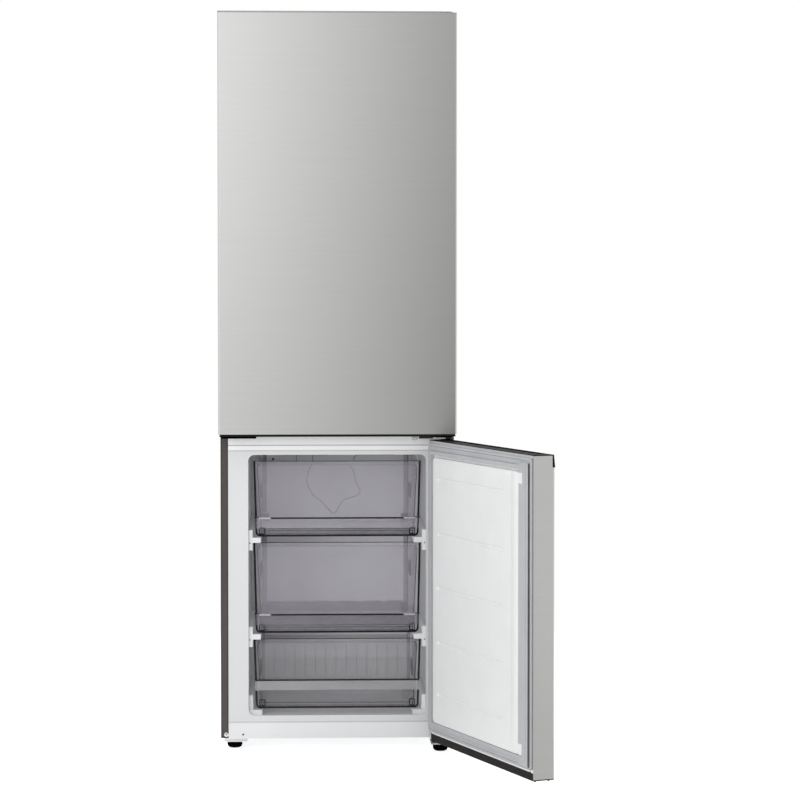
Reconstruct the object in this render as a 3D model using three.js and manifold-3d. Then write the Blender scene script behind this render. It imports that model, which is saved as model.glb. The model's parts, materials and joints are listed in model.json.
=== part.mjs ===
// Bottom freezer refrigerator, built as the pieces it comes apart into.
// Millimetres, +Z up. While drawing, x runs right from the cabinet's centre plane, y runs back
// from the outer face of the closed doors, and z runs up from the floor. The finished group is
// then set so that its origin lies on the floor under the middle of its footprint box.
// The freezer door stands open; every other moving piece is at home.

import * as THREE from 'three';
import { mergeVertices } from 'three/addons/utils/BufferGeometryUtils.js';
import Module from 'manifold-3d';

const wasm = await Module();
wasm.setup();

// ---------------------------------------------------------------- driving dimensions

// Clearances
const fit = 0.3; // between a piece and the one it seats on
const pinFit = 0.3; // around a pin or shaft

// Cabinet
const cabinetWidth = 587;
const cabinetDepth = 616;
const cabinetTop = 1847;
const baseHeight = 28.4;
const wrapSheet = 1;
const wrapRadius = 5;
const wrapFlange = 18.8;
const backSheet = 0.8;
const backBeadDepth = 2;
const backBeadWidth = 24;
const backBeadCount = 6;
const panSheet = 1;
const mullionBelow = 29; // from the lower door's top down to the rail's bottom
const mullionAbove = 17; // and up to its top
const mullionDepth = 5;
const mullionGrooveBelow = 16;
const apronHeight = 39.6;
const apronThickness = 1.5;

// Walls round the compartments, from the cabinet's outside to the clear inside
const linerWall = 1.5;
const compartmentRadius = 16;
const fridgeSideWall = 48.5;
const fridgeFloor = 12; // above the rail between the compartments
const fridgeRoof = 44;
const fridgeBackWall = 86;
const freezerSideWall = 69.5;
const freezerFloor = 16.8; // above the apron
const freezerRoof = 10.4; // below the rail
const freezerBackWall = 92;
const humpDepth = 286; // step over the compressor, from the cabinet's back
const humpGap = 7.6; // below the middle drawer
const humpSlope = 45;
const bayWall = 45; // foam between the freezer and the compressor bay

// Doors
const doorOverhang = 4; // past the cabinet's sides
const doorAbove = 3; // past the cabinet's roof, which hides the top hinge from the front
const doorDepth = 55.5;
const doorSheet = 1;
const doorEdgeRadius = 5;
const doorReturn = 12;
const doorGap = 11; // between the two doors
const lowerDoorDrop = 2.4; // below the cabinet's base
const lowerDoorTop = 783;
const doorLinerPlate = 1.5;
const gasketDepth = 10.2;
const gasketMargin = 6;
const gasketWing = 17.5; // low outer part, which clears the cabinet as the door turns
const gasketWingDepth = 5;
const gasketLip = 9.5;
const freezerDoorAngle = 111.2; // as it stands open

// Door end caps
const upperTopCapRim = 4;
const upperBottomCapRim = 5;
const bottomCapInset = 4;
const capPlug = 14;
const lowerBottomCapRim = 2.5;
const lowerBottomCapHeight = 18.6;
const lowerTopCapRim = 2;
const lowerTopCapFace = 6; // shows above the liner
const gripHeight = 30;
const gripThickness = 6.5;
const gripLean = 3;
const gripPocketWidth = 20;
const gripPocketDepth = 20;
const gripEnd = 30; // solid end of the pocket, on the free side
const gripWall = 2.5;

// Inner panel of the freezer door
const panelRise = 9.7;
const panelMargin = 43;
const panelAbove = 52; // from the door's bottom
const panelBelow = 41.5; // from the door's top
const panelRadius = 12;
const panelStep = 20;
const panelStepHeight = 28;
const panelRibDepth = 2;
const panelRibHeight = 9;
const panelRibInset = 71; // from the hinge edge
const panelRibEnd = 143; // from the free edge
const panelRibShares = [0.921, 0.714, 0.512, 0.3075, 0.112]; // of the panel's height

// Inner frame of the upper door and its bins
const damMargin = 62;
const damWidth = 19;
const damDepth = 38;
const damEnd = 40; // from the door's ends
const binWall = 2;
const binDepth = 104;
const binHeight = 96;
const binRim = 4.5;
const binCount = 3;
const binFirst = 111; // above the door's bottom
const binShare = 0.275; // pitch, of the door's height
const lugDepth = 30;
const lugHeight = 12;

// Hinges
const hingeInset = 26.9; // pin from the door's side edge
const hingeSetback = 22.5; // pin from the door's outer face
const hingePin = 5; // radius
const hingePlate = 4;
const hingePinLength = 14;
const hingeWidth = 86;
const hingeLeg = 4;
const hingeReach = 14; // plate past the pin
const topHingeBack = 70; // plate on the cabinet's roof
const hingeSeatFront = 4; // of the door's top, left in front of the hinge
const hingeSeatMouth = 12; // left of the pin, from where the plate passes over the door's edge
const hingeCoverWall = 2;
const hingeCoverGap = 1.5; // round the plate
const hingeCoverHeight = 8;
const hingeCoverBack = 2; // behind the cabinet's front edge

// Feet and rollers
const footRadius = 18.75;
const footHeight = 16.5;
const footTaper = 6; // from the rim to the tread
const footStud = 5; // radius
const leftFootInset = 34; // from the cabinet's side
const leftFootBack = 36; // behind the cabinet's front edge
const rightFootInset = 35;
const rightFootAhead = 30; // in front of it
const footBracketWidth = 57.5;
const footBracketDepth = 78;
const footBracketHeight = 11;
const footBracketSheet = 2;
const lowerHingeDrop = 5.6; // hinge plate below the base
const rollerRadius = 13;
const rollerWidth = 18;
const rollerAxle = 3; // radius
const rollerInset = 42; // from the cabinet's side
const rollerFromBack = 42;
const rollerFork = 3;

// Freezer drawers, with their fronts behind the cabinet's front edge
const drawerSetback = 34;
const drawerSideGap = 12;
const drawerFlare = 5.5; // wider at the top, each side
const drawerFrontThickness = 3;
const drawerCornerRadius = 12;
const tubInset = 9; // tub behind the front, each side
const tubTaper = 0.975;
const tubWall = 2.2;
const tubDrop = 7; // tub rim below the front panel's top
const tubRim = 5;
const handleProjection = 18;
const handleHeight = 27.5;
const handleWall = 2.5;
const handleInset = 7; // each side
const handleRise = 22.2;
const handleRiseLow = 48.2; // on the bottom drawer
const handSlotHeight = 33;
const handSlotLength = 90;
const handSlotBelow = 85; // below the front panel's top
const handSlotAhead = 80; // middle of the slot, ahead of the tub's back
const drawerFloorGap = 12.8;
const drawerRoofGap = 17.6;
const drawerGap = 14.4;
const drawerShares = [0.32, 0.384, 0.296]; // top, middle and bottom, of the height they share
const drawerBackGap = 12;
const lowDrawerBackGap = 26;

// Runners under the top and middle drawers
const runnerLedge = 30.5; // reach from the liner
const runnerThickness = 13;
const runnerFin = 10;
const runnerFinAbove = 19;
const runnerFinBelow = 19;
const runnerFront = 10; // behind the cabinet's front edge
const floorRailWidth = 34;

// Freezer back wall and what is behind it
const coverSpace = 78; // from the cover to the liner's back
const coverThickness = 2.5;
const coverSlotHeight = 9;
const coverSlotCount = 6;
const coilFinCount = 7;
const coilFin = 1.2;
const coilTube = 4; // radius
const coilInset = 44; // from the liner's side
const coilDepth = 58;
const fanRadius = 46;
const fanHub = 17;
const fanBlades = 7;
const fanBelow = 103.6; // axis below the freezer's roof
const fanLength = 18;
const fanShaft = 2.5; // radius
const fanMotorRadius = 22;
const fanMotorLength = 26;
const fanPlate = 60;

// Fridge interior
const shelfGlass = 4;
const shelfSetback = 130; // from the cabinet's front edge
const shelfBackGap = 40;
const shelfLedge = 9;
const shelfLedgeHeight = 10;
const shelfCount = 3;
const crisperHeight = 172;
const crisperHeadroom = 20.7;
const crisperBackGap = 6;
const crisperWall = 2.2;
const crisperGap = 4;
const crisperTaper = 0.97;
const crisperLip = 14;
const ductWidth = 170;
const ductDepth = 20;
const ductWall = 2;
const ductAbove = 25; // above the crisper cover
const ductBelow = 33; // below the fridge's roof
const ductSlotRise = 100; // above each shelf
const lampLength = 150;
const lampWidth = 44;
const lampHeight = 9;

// Compressor bay
const compressorInset = 198.5; // from the cabinet's side
const compressorRadiusX = 84;
const compressorRadiusY = 70;
const compressorBody = 138;
const compressorFoot = 12;
const compressorPlate = 3;
const trayHeight = 30;
const trayWall = 2;
const trayHalfLength = 92;
const trayHalfWidth = 64;
const deckFlange = 12;
const louvreCount = 13;
const louvreHeight = 60;
const louvreWidth = 9;
const condenserTube = 2.4; // radius
const condenserRuns = 10;
const condenserInset = 73.5; // from the cabinet's sides
const condenserBelow = 260; // below the cabinet's top
const condenserBottom = 420;

// ---------------------------------------------------------------- derived places

// Widths and what follows from them
const half = cabinetWidth / 2;
const insideHalf = half - wrapSheet - fit;
const flangeHalf = half - wrapFlange - fit; // white flanges inside the wrap's
const doorWidth = cabinetWidth + 2 * doorOverhang;
const hingeX = doorWidth / 2 - hingeInset;
const hingeY = hingeSetback;
const leftFootX = -(half - leftFootInset);
const rightFootX = half - rightFootInset;
const fridgeHalf = half - fridgeSideWall;
const freezerHalf = half - freezerSideWall;
const drawerHalfTop = freezerHalf - drawerSideGap;
const drawerHalfBottom = drawerHalfTop - drawerFlare;
const tubHalfWidth = drawerHalfTop - tubInset;
const handleHalfWidth = drawerHalfTop - handleInset;
const coverSlotPitch = (2 * freezerHalf) / (coverSlotCount + 0.8);
const coverSlotWidth = 0.8 * coverSlotPitch;
const coilHalfWidth = freezerHalf - coilInset;
const compressorX = half - compressorInset;
const condenserHalfWidth = half - condenserInset;

// Depths
const cabinetFront = doorDepth + gasketDepth + fit;
const cabinetBack = cabinetFront + cabinetDepth;
const backPanel = cabinetBack - backBeadDepth - backSheet; // inner face of the rear panel
const foamBack = backPanel - 2 * fit - 2 * condenserTube;
const fridgeDepth = cabinetDepth - fridgeBackWall;
const freezerDepth = cabinetDepth - freezerBackWall;
const humpFront = cabinetDepth - humpDepth;
const bayFront = cabinetFront + humpFront + bayWall;
const coverSetback = freezerDepth - coverSpace;
const coverY = cabinetFront + coverSetback;
const drawerFront = cabinetFront + drawerSetback;
const deepDrawer = coverSetback - drawerSetback - drawerBackGap;
const lowDrawer = humpFront - drawerSetback - lowDrawerBackGap;
const topRunner = coverSetback - runnerFront - drawerBackGap;
const middleRunner = humpFront - runnerFront - fit; // stops at the step over the compressor
const shelfDepth = fridgeDepth - shelfSetback - shelfBackGap;
const crisperDepth = shelfDepth - crisperLip - crisperBackGap;
const leftFootY = cabinetFront + leftFootBack;
const rightFootY = cabinetFront - rightFootAhead;
const coreBack = doorDepth - doorLinerPlate - fit; // back of what fills a door

// Heights
const lowerDoorBottom = baseHeight - lowerDoorDrop;
const lowerLinerTop = lowerDoorTop - lowerTopCapFace;
const upperDoorBottom = lowerDoorTop + doorGap;
const upperDoorTop = cabinetTop + doorAbove;
const panelBottom = lowerDoorBottom + panelAbove;
const panelTop = lowerDoorTop - panelBelow;
const mullionBottom = lowerDoorTop - mullionBelow;
const mullionTop = lowerDoorTop + mullionAbove;
const mullionGroove = lowerDoorTop - mullionGrooveBelow;
const apronTop = baseHeight + apronHeight;
const freezerBottom = apronTop + freezerFloor;
const freezerTop = mullionBottom - freezerRoof;
const drawerRoom = freezerTop - freezerBottom - drawerFloorGap - drawerRoofGap - 2 * drawerGap;
const bottomDrawerTop = freezerBottom + drawerFloorGap + drawerShares[2] * drawerRoom;
const middleDrawerTop = bottomDrawerTop + drawerGap + drawerShares[1] * drawerRoom;
const drawers = [
  {
    name: 'top',
    bottom: middleDrawerTop + drawerGap,
    top: freezerTop - drawerRoofGap,
    depth: deepDrawer,
    rise: handleRise,
  },
  {
    name: 'middle',
    bottom: bottomDrawerTop + drawerGap,
    top: middleDrawerTop,
    depth: deepDrawer,
    rise: handleRise,
  },
  {
    name: 'bottom',
    bottom: freezerBottom + drawerFloorGap,
    top: bottomDrawerTop,
    depth: lowDrawer,
    rise: handleRiseLow,
  },
];
const humpTop = drawers[1].bottom - humpGap;
const bayTop = humpTop - bayWall;
const coverSlotLevels = [drawers[0].top - 32, drawers[0].bottom - 7, drawers[1].bottom + 20];
const coilHeight = (freezerTop - humpTop) / 2;
const fanLevel = freezerTop - fanBelow;
const fridgeBottom = mullionTop + fridgeFloor;
const fridgeTop = cabinetTop - fridgeRoof;
const crisperCoverLevel = fridgeBottom + fit + crisperHeight + crisperHeadroom;
const shelfPitch = (fridgeTop - crisperCoverLevel) / (shelfCount + 1);
const shelfLevels = Array.from({ length: shelfCount }, (_, i) => (
  crisperCoverLevel + (shelfCount - i) * shelfPitch
));
const binPitch = binShare * (upperDoorTop - upperDoorBottom);
const binLevels = Array.from({ length: binCount }, (_, i) => upperDoorBottom + binFirst + i * binPitch);
const condenserPitch = (cabinetTop - condenserBelow - condenserBottom) / (condenserRuns - 1);

// ---------------------------------------------------------------- shapes and solids

function rectangle(x0, y0, x1, y1) {
  return polygon([[x0, y0], [x1, y0], [x1, y1], [x0, y1]]);
}

function polygon(points) {
  return new THREE.Shape(points.map(([x, y]) => new THREE.Vector2(x, y)));
}

function rounded(x0, y0, x1, y1, r) {
  const shape = new THREE.Shape();
  shape.absarc(x1 - r, y0 + r, r, -Math.PI / 2, 0);
  shape.absarc(x1 - r, y1 - r, r, 0, Math.PI / 2);
  shape.absarc(x0 + r, y1 - r, r, Math.PI / 2, Math.PI);
  shape.absarc(x0 + r, y0 + r, r, Math.PI, 1.5 * Math.PI);
  shape.closePath();
  return shape;
}

function disc(x, y, r) {
  const shape = new THREE.Shape();
  shape.absarc(x, y, r, 0, 2 * Math.PI);
  return shape;
}

// A closed geometry as a solid that can be cut and joined
function solid(geometry) {
  const bare = geometry.clone();
  bare.deleteAttribute('normal');
  bare.deleteAttribute('uv');
  const merged = mergeVertices(bare, 1e-4);
  const index = merged.index.array;
  const triangles = [];
  for (let i = 0; i < index.length; i += 3) {
    const [a, b, c] = [index[i], index[i + 1], index[i + 2]];
    if (a !== b && b !== c && c !== a) {
      triangles.push(a, b, c);
    }
  }
  return new wasm.Manifold(new wasm.Mesh({
    numProp: 3,
    vertProperties: new Float32Array(merged.attributes.position.array),
    triVerts: new Uint32Array(triangles),
  }));
}

function extrude(shape, length, segments = 4) {
  return new THREE.ExtrudeGeometry(shape, {
    depth: length,
    bevelEnabled: false,
    curveSegments: segments,
  });
}

// A shape drawn in (x, y), between two heights
function alongZ(shape, z0, z1, segments) {
  return solid(extrude(shape, z1 - z0, segments).translate(0, 0, z0));
}

// A shape drawn in (x, z), between two depths
function alongY(shape, y0, y1, segments) {
  const turn = new THREE.Matrix4().makeRotationX(Math.PI / 2);
  return solid(extrude(shape, y1 - y0, segments).applyMatrix4(turn).translate(0, y1, 0));
}

// A shape drawn in (y, z), between two sides
function alongX(shape, x0, x1, segments) {
  const turn = new THREE.Matrix4().makeBasis(
    new THREE.Vector3(0, 1, 0),
    new THREE.Vector3(0, 0, 1),
    new THREE.Vector3(1, 0, 0),
  );
  return solid(extrude(shape, x1 - x0, segments).applyMatrix4(turn).translate(x0, 0, 0));
}

function block(x0, x1, y0, y1, z0, z1) {
  const box = new THREE.BoxGeometry(x1 - x0, y1 - y0, z1 - z0);
  return solid(box.translate((x0 + x1) / 2, (y0 + y1) / 2, (z0 + z1) / 2));
}

// A profile of (radius, height) points, turned about the vertical through (x, y)
function turned(points, x, y, segments = 24) {
  const profile = points.map(([r, z]) => new THREE.Vector2(r, z));
  const lathe = new THREE.LatheGeometry(profile, segments);
  return solid(lathe.rotateX(Math.PI / 2).translate(x, y, 0));
}

function pin(x, y, z0, z1, r, segments = 20) {
  return turned([[0, z0], [r, z0], [r, z1], [0, z1]], x, y, segments);
}

// The same, lying along x or y
function pinAlongX(x0, x1, y, z, r, segments = 6) {
  return alongX(disc(y, z, r), x0, x1, segments);
}

function pinAlongY(x, y0, y1, z, r, segments = 6) {
  return alongY(disc(x, z, r), y0, y1, segments);
}

// A solid that narrows towards its foot: scale at z0, full size at z1, about (cx, cy)
function tapered(shape, z0, z1, scale, cx, cy, segments) {
  const geometry = extrude(shape, z1 - z0, segments).translate(0, 0, z0);
  const position = geometry.attributes.position;
  for (let i = 0; i < position.count; i += 1) {
    const s = scale + (1 - scale) * ((position.getZ(i) - z0) / (z1 - z0));
    position.setX(i, cx + (position.getX(i) - cx) * s);
    position.setY(i, cy + (position.getY(i) - cy) * s);
  }
  return solid(geometry);
}

// A round tube along points, with every corner rounded to one radius
function tube(points, radius, bend, sides, steps) {
  const path = new THREE.CurvePath();
  let start = points[0];
  for (let i = 1; i < points.length - 1; i += 1) {
    const before = points[i].clone().lerp(points[i - 1], bend / points[i].distanceTo(points[i - 1]));
    const after = points[i].clone().lerp(points[i + 1], bend / points[i].distanceTo(points[i + 1]));
    path.add(new THREE.LineCurve3(start, before));
    path.add(new THREE.QuadraticBezierCurve3(before, points[i], after));
    start = after;
  }
  path.add(new THREE.LineCurve3(start, points[points.length - 1]));
  const section = new THREE.Shape(
    Array.from({ length: sides }, (_, i) => new THREE.Vector2(
      radius * Math.cos((2 * Math.PI * i) / sides),
      radius * Math.sin((2 * Math.PI * i) / sides),
    )),
  );
  return solid(new THREE.ExtrudeGeometry(section, { steps, extrudePath: path }));
}

function union(solids) {
  return solids.reduce((sum, next) => sum.add(next));
}

function geometryOf(body) {
  const { vertProperties, triVerts } = body.getMesh();
  const geometry = new THREE.BufferGeometry();
  geometry.setAttribute('position', new THREE.BufferAttribute(vertProperties, 3));
  geometry.setIndex(new THREE.BufferAttribute(triVerts, 1));
  return geometry;
}

// ---------------------------------------------------------------- materials

function finish(color, roughness, metalness = 0) {
  return { color, roughness, metalness };
}

const finishes = {
  steel: finish(0xc2c2c0, 0.35, 0.9),
  wrap: finish(0x5a5451, 0.5, 0.3),
  galvanised: finish(0x9da1a3, 0.45, 0.8),
  white: finish(0xe4e5e6, 0.4),
  rim: finish(0xb4b6ba, 0.7),
  black: finish(0x2c2a2a, 0.5),
  foam: finish(0xe8dfb8, 0.9),
  smoked: finish(0x9b9a9f, 0.15),
  glass: finish(0xd8e6e4, 0.08),
  clear: finish(0xe6eaec, 0.15),
  grey: finish(0x9a9a98, 0.5),
  aluminium: finish(0xb9bcc0, 0.4, 0.9),
  copper: finish(0xb87a4d, 0.35, 0.9),
  lamp: finish(0xf4f4ee, 0.3),
};

function piece(parent, name, kind, body) {
  const mesh = new THREE.Mesh(geometryOf(body), new THREE.MeshStandardMaterial(finishes[kind]));
  mesh.name = name;
  parent.add(mesh);
}

// ---------------------------------------------------------------- cabinet

// The wrap's outline seen from the front, moved inwards by inset
function wrapOutline(inset, bottom) {
  const x = half - inset;
  const z = cabinetTop - inset;
  const r = Math.max(wrapRadius - inset, 0.5);
  const shape = new THREE.Shape();
  shape.moveTo(-x, bottom);
  shape.lineTo(x, bottom);
  shape.absarc(x - r, z - r, r, 0, Math.PI / 2);
  shape.absarc(-x + r, z - r, r, Math.PI / 2, Math.PI);
  shape.closePath();
  return shape;
}

function cabinetShell() {
  const open = 1; // past the faces that stay open
  const outer = alongY(wrapOutline(0, baseHeight), cabinetFront, cabinetBack);
  const inner = alongY(
    wrapOutline(wrapSheet, baseHeight - open),
    cabinetFront + wrapSheet,
    cabinetBack + open,
  );
  const mouth = half - wrapFlange;
  const front = block(
    -mouth, mouth,
    cabinetFront - open, cabinetFront + 2 * wrapSheet,
    baseHeight - open, cabinetTop - wrapFlange,
  );
  return outer.subtract(inner).subtract(front);
}

// The step in the freezer over the compressor bay, moved away from the freezer by grow
function hump(grow) {
  const front = cabinetFront + humpFront + grow;
  const top = humpTop - grow;
  const beyond = cabinetBack + 1;
  const profile = polygon([
    [front, 0], [beyond, 0], [beyond, top], [front + humpSlope, top], [front, top - humpSlope],
  ]);
  return alongX(profile, -half, half);
}

function freezerSpace(grow, front = cabinetFront) {
  const outline = rounded(
    -freezerHalf - grow, freezerBottom - grow,
    freezerHalf + grow, freezerTop + grow,
    compartmentRadius + grow,
  );
  return alongY(outline, front, cabinetFront + freezerDepth + grow).subtract(hump(grow));
}

function fridgeSpace(grow, front = cabinetFront) {
  const outline = rounded(
    -fridgeHalf - grow, fridgeBottom - grow,
    fridgeHalf + grow, fridgeTop + grow,
    compartmentRadius + grow,
  );
  return alongY(outline, front, cabinetFront + fridgeDepth + grow);
}

function freezerLiner() {
  const through = cabinetFront - 1;
  const flange = block(
    -flangeHalf, flangeHalf,
    cabinetFront, cabinetFront + linerWall,
    apronTop + fit, mullionBottom - fit,
  );
  const shell = freezerSpace(linerWall).add(flange).subtract(freezerSpace(0, through));
  const rails = [-1, 1].map((side) => {
    const wall = side * (freezerHalf + linerWall / 2);
    const tip = side * (freezerHalf - floorRailWidth);
    return block(
      Math.min(wall, tip), Math.max(wall, tip),
      cabinetFront + runnerFront, cabinetFront + humpFront + linerWall / 2,
      freezerBottom - linerWall / 2, drawers[2].bottom - fit,
    ).intersect(freezerSpace(linerWall / 2));
  });
  return union([shell, ...rails]);
}

function fridgeLiner() {
  const through = cabinetFront - 1;
  const flange = block(
    -flangeHalf, flangeHalf,
    cabinetFront, cabinetFront + linerWall,
    mullionTop + fit, cabinetTop - wrapFlange - fit,
  );
  const shell = fridgeSpace(linerWall).add(flange).subtract(fridgeSpace(0, through));
  const ledges = [...shelfLevels, crisperCoverLevel].flatMap((level) => [-1, 1].map((side) => {
    const wall = side * (fridgeHalf + linerWall / 2);
    const tip = side * (fridgeHalf - shelfLedge);
    const outer = level - fit;
    const profile = polygon(
      side > 0
        ? [[wall, outer - shelfLedgeHeight - shelfLedge], [wall, outer], [tip, outer],
          [tip, outer - shelfLedgeHeight]]
        : [[wall, outer - shelfLedgeHeight - shelfLedge], [tip, outer - shelfLedgeHeight],
          [tip, outer], [wall, outer]],
    );
    return alongY(profile, cabinetFront + shelfSetback - 20, cabinetFront + shelfSetback + shelfDepth);
  }));
  return union([shell, ...ledges]);
}

function cabinetFoam() {
  const grow = linerWall + fit;
  const body = alongY(
    wrapOutline(wrapSheet + fit, baseHeight + panSheet + fit),
    cabinetFront + linerWall + fit,
    foamBack,
  );
  const bay = block(
    -half, half,
    bayFront - panSheet - fit, cabinetBack + 1,
    0, bayTop + panSheet + fit,
  );
  const behindRail = block(
    -half, half,
    cabinetFront, cabinetFront + mullionDepth + fit,
    mullionBottom - fit, mullionTop + fit,
  );
  return body
    .subtract(fridgeSpace(grow))
    .subtract(freezerSpace(grow))
    .subtract(bay)
    .subtract(behindRail);
}

function mullion() {
  const groove = 1.2;
  const y = cabinetFront;
  const profile = polygon([
    [y, mullionBottom], [y + mullionDepth, mullionBottom],
    [y + mullionDepth, mullionTop], [y, mullionTop],
    [y, mullionGroove + groove], [y + groove, mullionGroove], [y, mullionGroove - groove],
  ]);
  return alongX(profile, -flangeHalf, flangeHalf);
}

function frontApron() {
  const y = cabinetFront;
  const foot = 12; // return under the base
  const bottom = baseHeight - apronThickness;
  const profile = polygon([
    [y, bottom], [y + foot, bottom], [y + foot, bottom + apronThickness - fit],
    [y + apronThickness, bottom + apronThickness - fit], [y + apronThickness, apronTop], [y, apronTop],
  ]);
  return alongX(profile, -flangeHalf, flangeHalf);
}

function basePan() {
  const y = cabinetFront + apronThickness + fit;
  const z = baseHeight;
  const back = backPanel - fit;
  const profile = polygon([
    [y, z], [bayFront, z], [bayFront, bayTop], [back, bayTop], [back, bayTop + panSheet],
    [bayFront - panSheet, bayTop + panSheet], [bayFront - panSheet, z + panSheet], [y, z + panSheet],
  ]);
  return alongX(profile, -insideHalf, insideHalf);
}

function compressorDeck() {
  const y0 = bayFront + fit;
  const y1 = backPanel - fit;
  const z = baseHeight;
  const t = panSheet;
  const profile = polygon([
    [y0, z], [y1, z], [y1, z + deckFlange], [y1 - t, z + deckFlange], [y1 - t, z + t],
    [y0 + t, z + t], [y0 + t, z + deckFlange], [y0, z + deckFlange],
  ]);
  return alongX(profile, -insideHalf, insideHalf);
}

// Thin sheet with upright beads, drawn from above
function rearPanel() {
  const y = backPanel;
  const slope = backBeadDepth;
  const pitch = (2 * insideHalf) / backBeadCount;
  const line = [[-insideHalf, y]];
  for (let i = 0; i < backBeadCount; i += 1) {
    const x = -insideHalf + pitch * (i + 0.5);
    line.push([x - backBeadWidth / 2 - slope, y]);
    line.push([x - backBeadWidth / 2, y + backBeadDepth]);
    line.push([x + backBeadWidth / 2, y + backBeadDepth]);
    line.push([x + backBeadWidth / 2 + slope, y]);
  }
  line.push([insideHalf, y]);
  const outer = line.map(([x, depth]) => [x, depth + backSheet]).reverse();
  const sheet = alongZ(polygon([...line, ...outer]), bayTop + fit, cabinetTop - wrapSheet - fit);
  return sheet.intersect(alongY(wrapOutline(wrapSheet + fit, 0), cabinetFront, cabinetBack + 1));
}

function compressorCover() {
  const bottom = baseHeight + fit;
  const top = bayTop - fit;
  const y = backPanel;
  const pitch = (2 * insideHalf) / (louvreCount + 1);
  const rows = [bottom + (top - bottom) / 3, bottom + (2 * (top - bottom)) / 3];
  const slots = Array.from({ length: louvreCount }, (_, i) => -insideHalf + pitch * (i + 1))
    .flatMap((x) => rows.map((z) => block(
      x - louvreWidth / 2, x + louvreWidth / 2,
      y - 1, y + backSheet + 1,
      z - louvreHeight / 2, z + louvreHeight / 2,
    )));
  return block(-insideHalf, insideHalf, y, y + backSheet, bottom, top).subtract(union(slots));
}

// ---------------------------------------------------------------- fridge interior

function glassShelf(level) {
  const side = fridgeHalf - fit;
  const y = cabinetFront + shelfSetback;
  return alongZ(rounded(-side, y, side, y + shelfDepth, 4), level, level + shelfGlass, 2);
}

function crisperDrawer(side) {
  const outside = fridgeHalf - compartmentRadius;
  const inside = crisperGap / 2;
  const x0 = side > 0 ? inside : -outside;
  const x1 = side > 0 ? outside : -inside;
  const y0 = cabinetFront + shelfSetback + crisperLip;
  const y1 = y0 + crisperDepth;
  const z0 = fridgeBottom + fit;
  const z1 = z0 + crisperHeight;
  const cx = (x0 + x1) / 2;
  const cy = (y0 + y1) / 2;
  const w = crisperWall;
  const scale = crisperTaper;
  const outer = tapered(rounded(x0, y0, x1, y1, compartmentRadius), z0, z1, scale, cx, cy, 3);
  const inner = tapered(
    rounded(x0 + w, y0 + w, x1 - w, y1 - w, compartmentRadius - w),
    z0 + w, z1 + w, scale, cx, cy, 3,
  );
  const lip = alongX(
    polygon([
      [y0 - crisperLip, z1 - 24], [y0 - crisperLip + w, z1 - 24], [y0 - crisperLip + w, z1 - w],
      [y0 + w, z1 - w], [y0 + w, z1], [y0 - crisperLip, z1],
    ]),
    x0 + compartmentRadius, x1 - compartmentRadius,
  );
  return outer.subtract(inner).add(lip);
}

function airDuctCover() {
  const back = cabinetFront + fridgeDepth - fit;
  const front = back - ductDepth;
  const x = ductWidth / 2;
  const profile = polygon([
    [-x, back], [-x, front], [x, front], [x, back], [x - ductWall, back],
    [x - ductWall, front + ductWall], [-x + ductWall, front + ductWall], [-x + ductWall, back],
  ]);
  const cover = alongZ(profile, crisperCoverLevel + ductAbove, fridgeTop - ductBelow);
  const levels = [...shelfLevels, crisperCoverLevel].map((level) => level + ductSlotRise);
  const slots = levels.flatMap((z) => [-1, 1].map((side) => block(
    side * 38 - 28, side * 38 + 28,
    front - 1, front + ductWall + 1,
    z, z + 8,
  )));
  return slots.reduce((body, slot) => body.subtract(slot), cover);
}

function ceilingLamp() {
  const y = cabinetFront + shelfSetback;
  const shape = rounded(-lampLength / 2, y, lampLength / 2, y + lampWidth, 8);
  const z = fridgeTop - fit;
  return tapered(shape, z - lampHeight, z, 0.9, 0, y + lampWidth / 2, 3);
}

// ---------------------------------------------------------------- freezer interior

function runner(side, level, length) {
  const wall = side * (freezerHalf - fit);
  const fin = wall - side * runnerFin;
  const tip = wall - side * runnerLedge;
  const top = level - fit;
  const bottom = top - runnerThickness;
  const outline = [
    [wall, bottom - runnerFinBelow], [wall, top + runnerFinAbove], [fin, top + runnerFinAbove],
    [fin, top], [tip, top], [tip, bottom], [fin, bottom], [fin, bottom - runnerFinBelow],
  ];
  const y0 = cabinetFront + runnerFront;
  const profile = polygon(side > 0 ? outline : outline.reverse());
  return alongY(profile, y0, y0 + length);
}

function evaporatorCover() {
  const side = freezerHalf - fit;
  const bottom = humpTop + fit;
  const top = freezerTop - fit;
  const outline = polygon([
    [-side, bottom], [side, bottom], [side, top - compartmentRadius],
    [side - compartmentRadius, top], [-side + compartmentRadius, top], [-side, top - compartmentRadius],
  ]);
  const first = -((coverSlotCount - 1) * coverSlotPitch) / 2;
  const slots = coverSlotLevels.flatMap((level) => (
    Array.from({ length: coverSlotCount }, (_, i) => first + i * coverSlotPitch).map((x) => block(
      x - coverSlotWidth / 2, x + coverSlotWidth / 2,
      coverY - 1, coverY + coverThickness + 1,
      level, level + coverSlotHeight,
    ))
  ));
  return alongY(outline, coverY, coverY + coverThickness).subtract(union(slots));
}

// Upright fins on a tube that runs from side to side
function evaporatorCoil() {
  const back = cabinetFront + freezerDepth - fit;
  const front = back - coilDepth;
  const bottom = humpTop + fit;
  const pitch = (2 * coilHalfWidth) / (coilFinCount - 1);
  const fins = Array.from({ length: coilFinCount }, (_, i) => {
    const x = -coilHalfWidth + i * pitch;
    return block(x - coilFin / 2, x + coilFin / 2, front, back, bottom, bottom + coilHeight);
  });
  const rise = coilHeight / 5;
  const reach = coilHalfWidth + 22;
  const y = (front + back) / 2;
  const points = [];
  for (let i = 0; i < 4; i += 1) {
    const z = bottom + rise * (i + 1);
    const start = i % 2 ? reach : -reach;
    points.push(new THREE.Vector3(start, y, z), new THREE.Vector3(-start, y, z));
  }
  return union([tube(points, coilTube, rise / 2, 5, 40), ...fins]);
}

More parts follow.
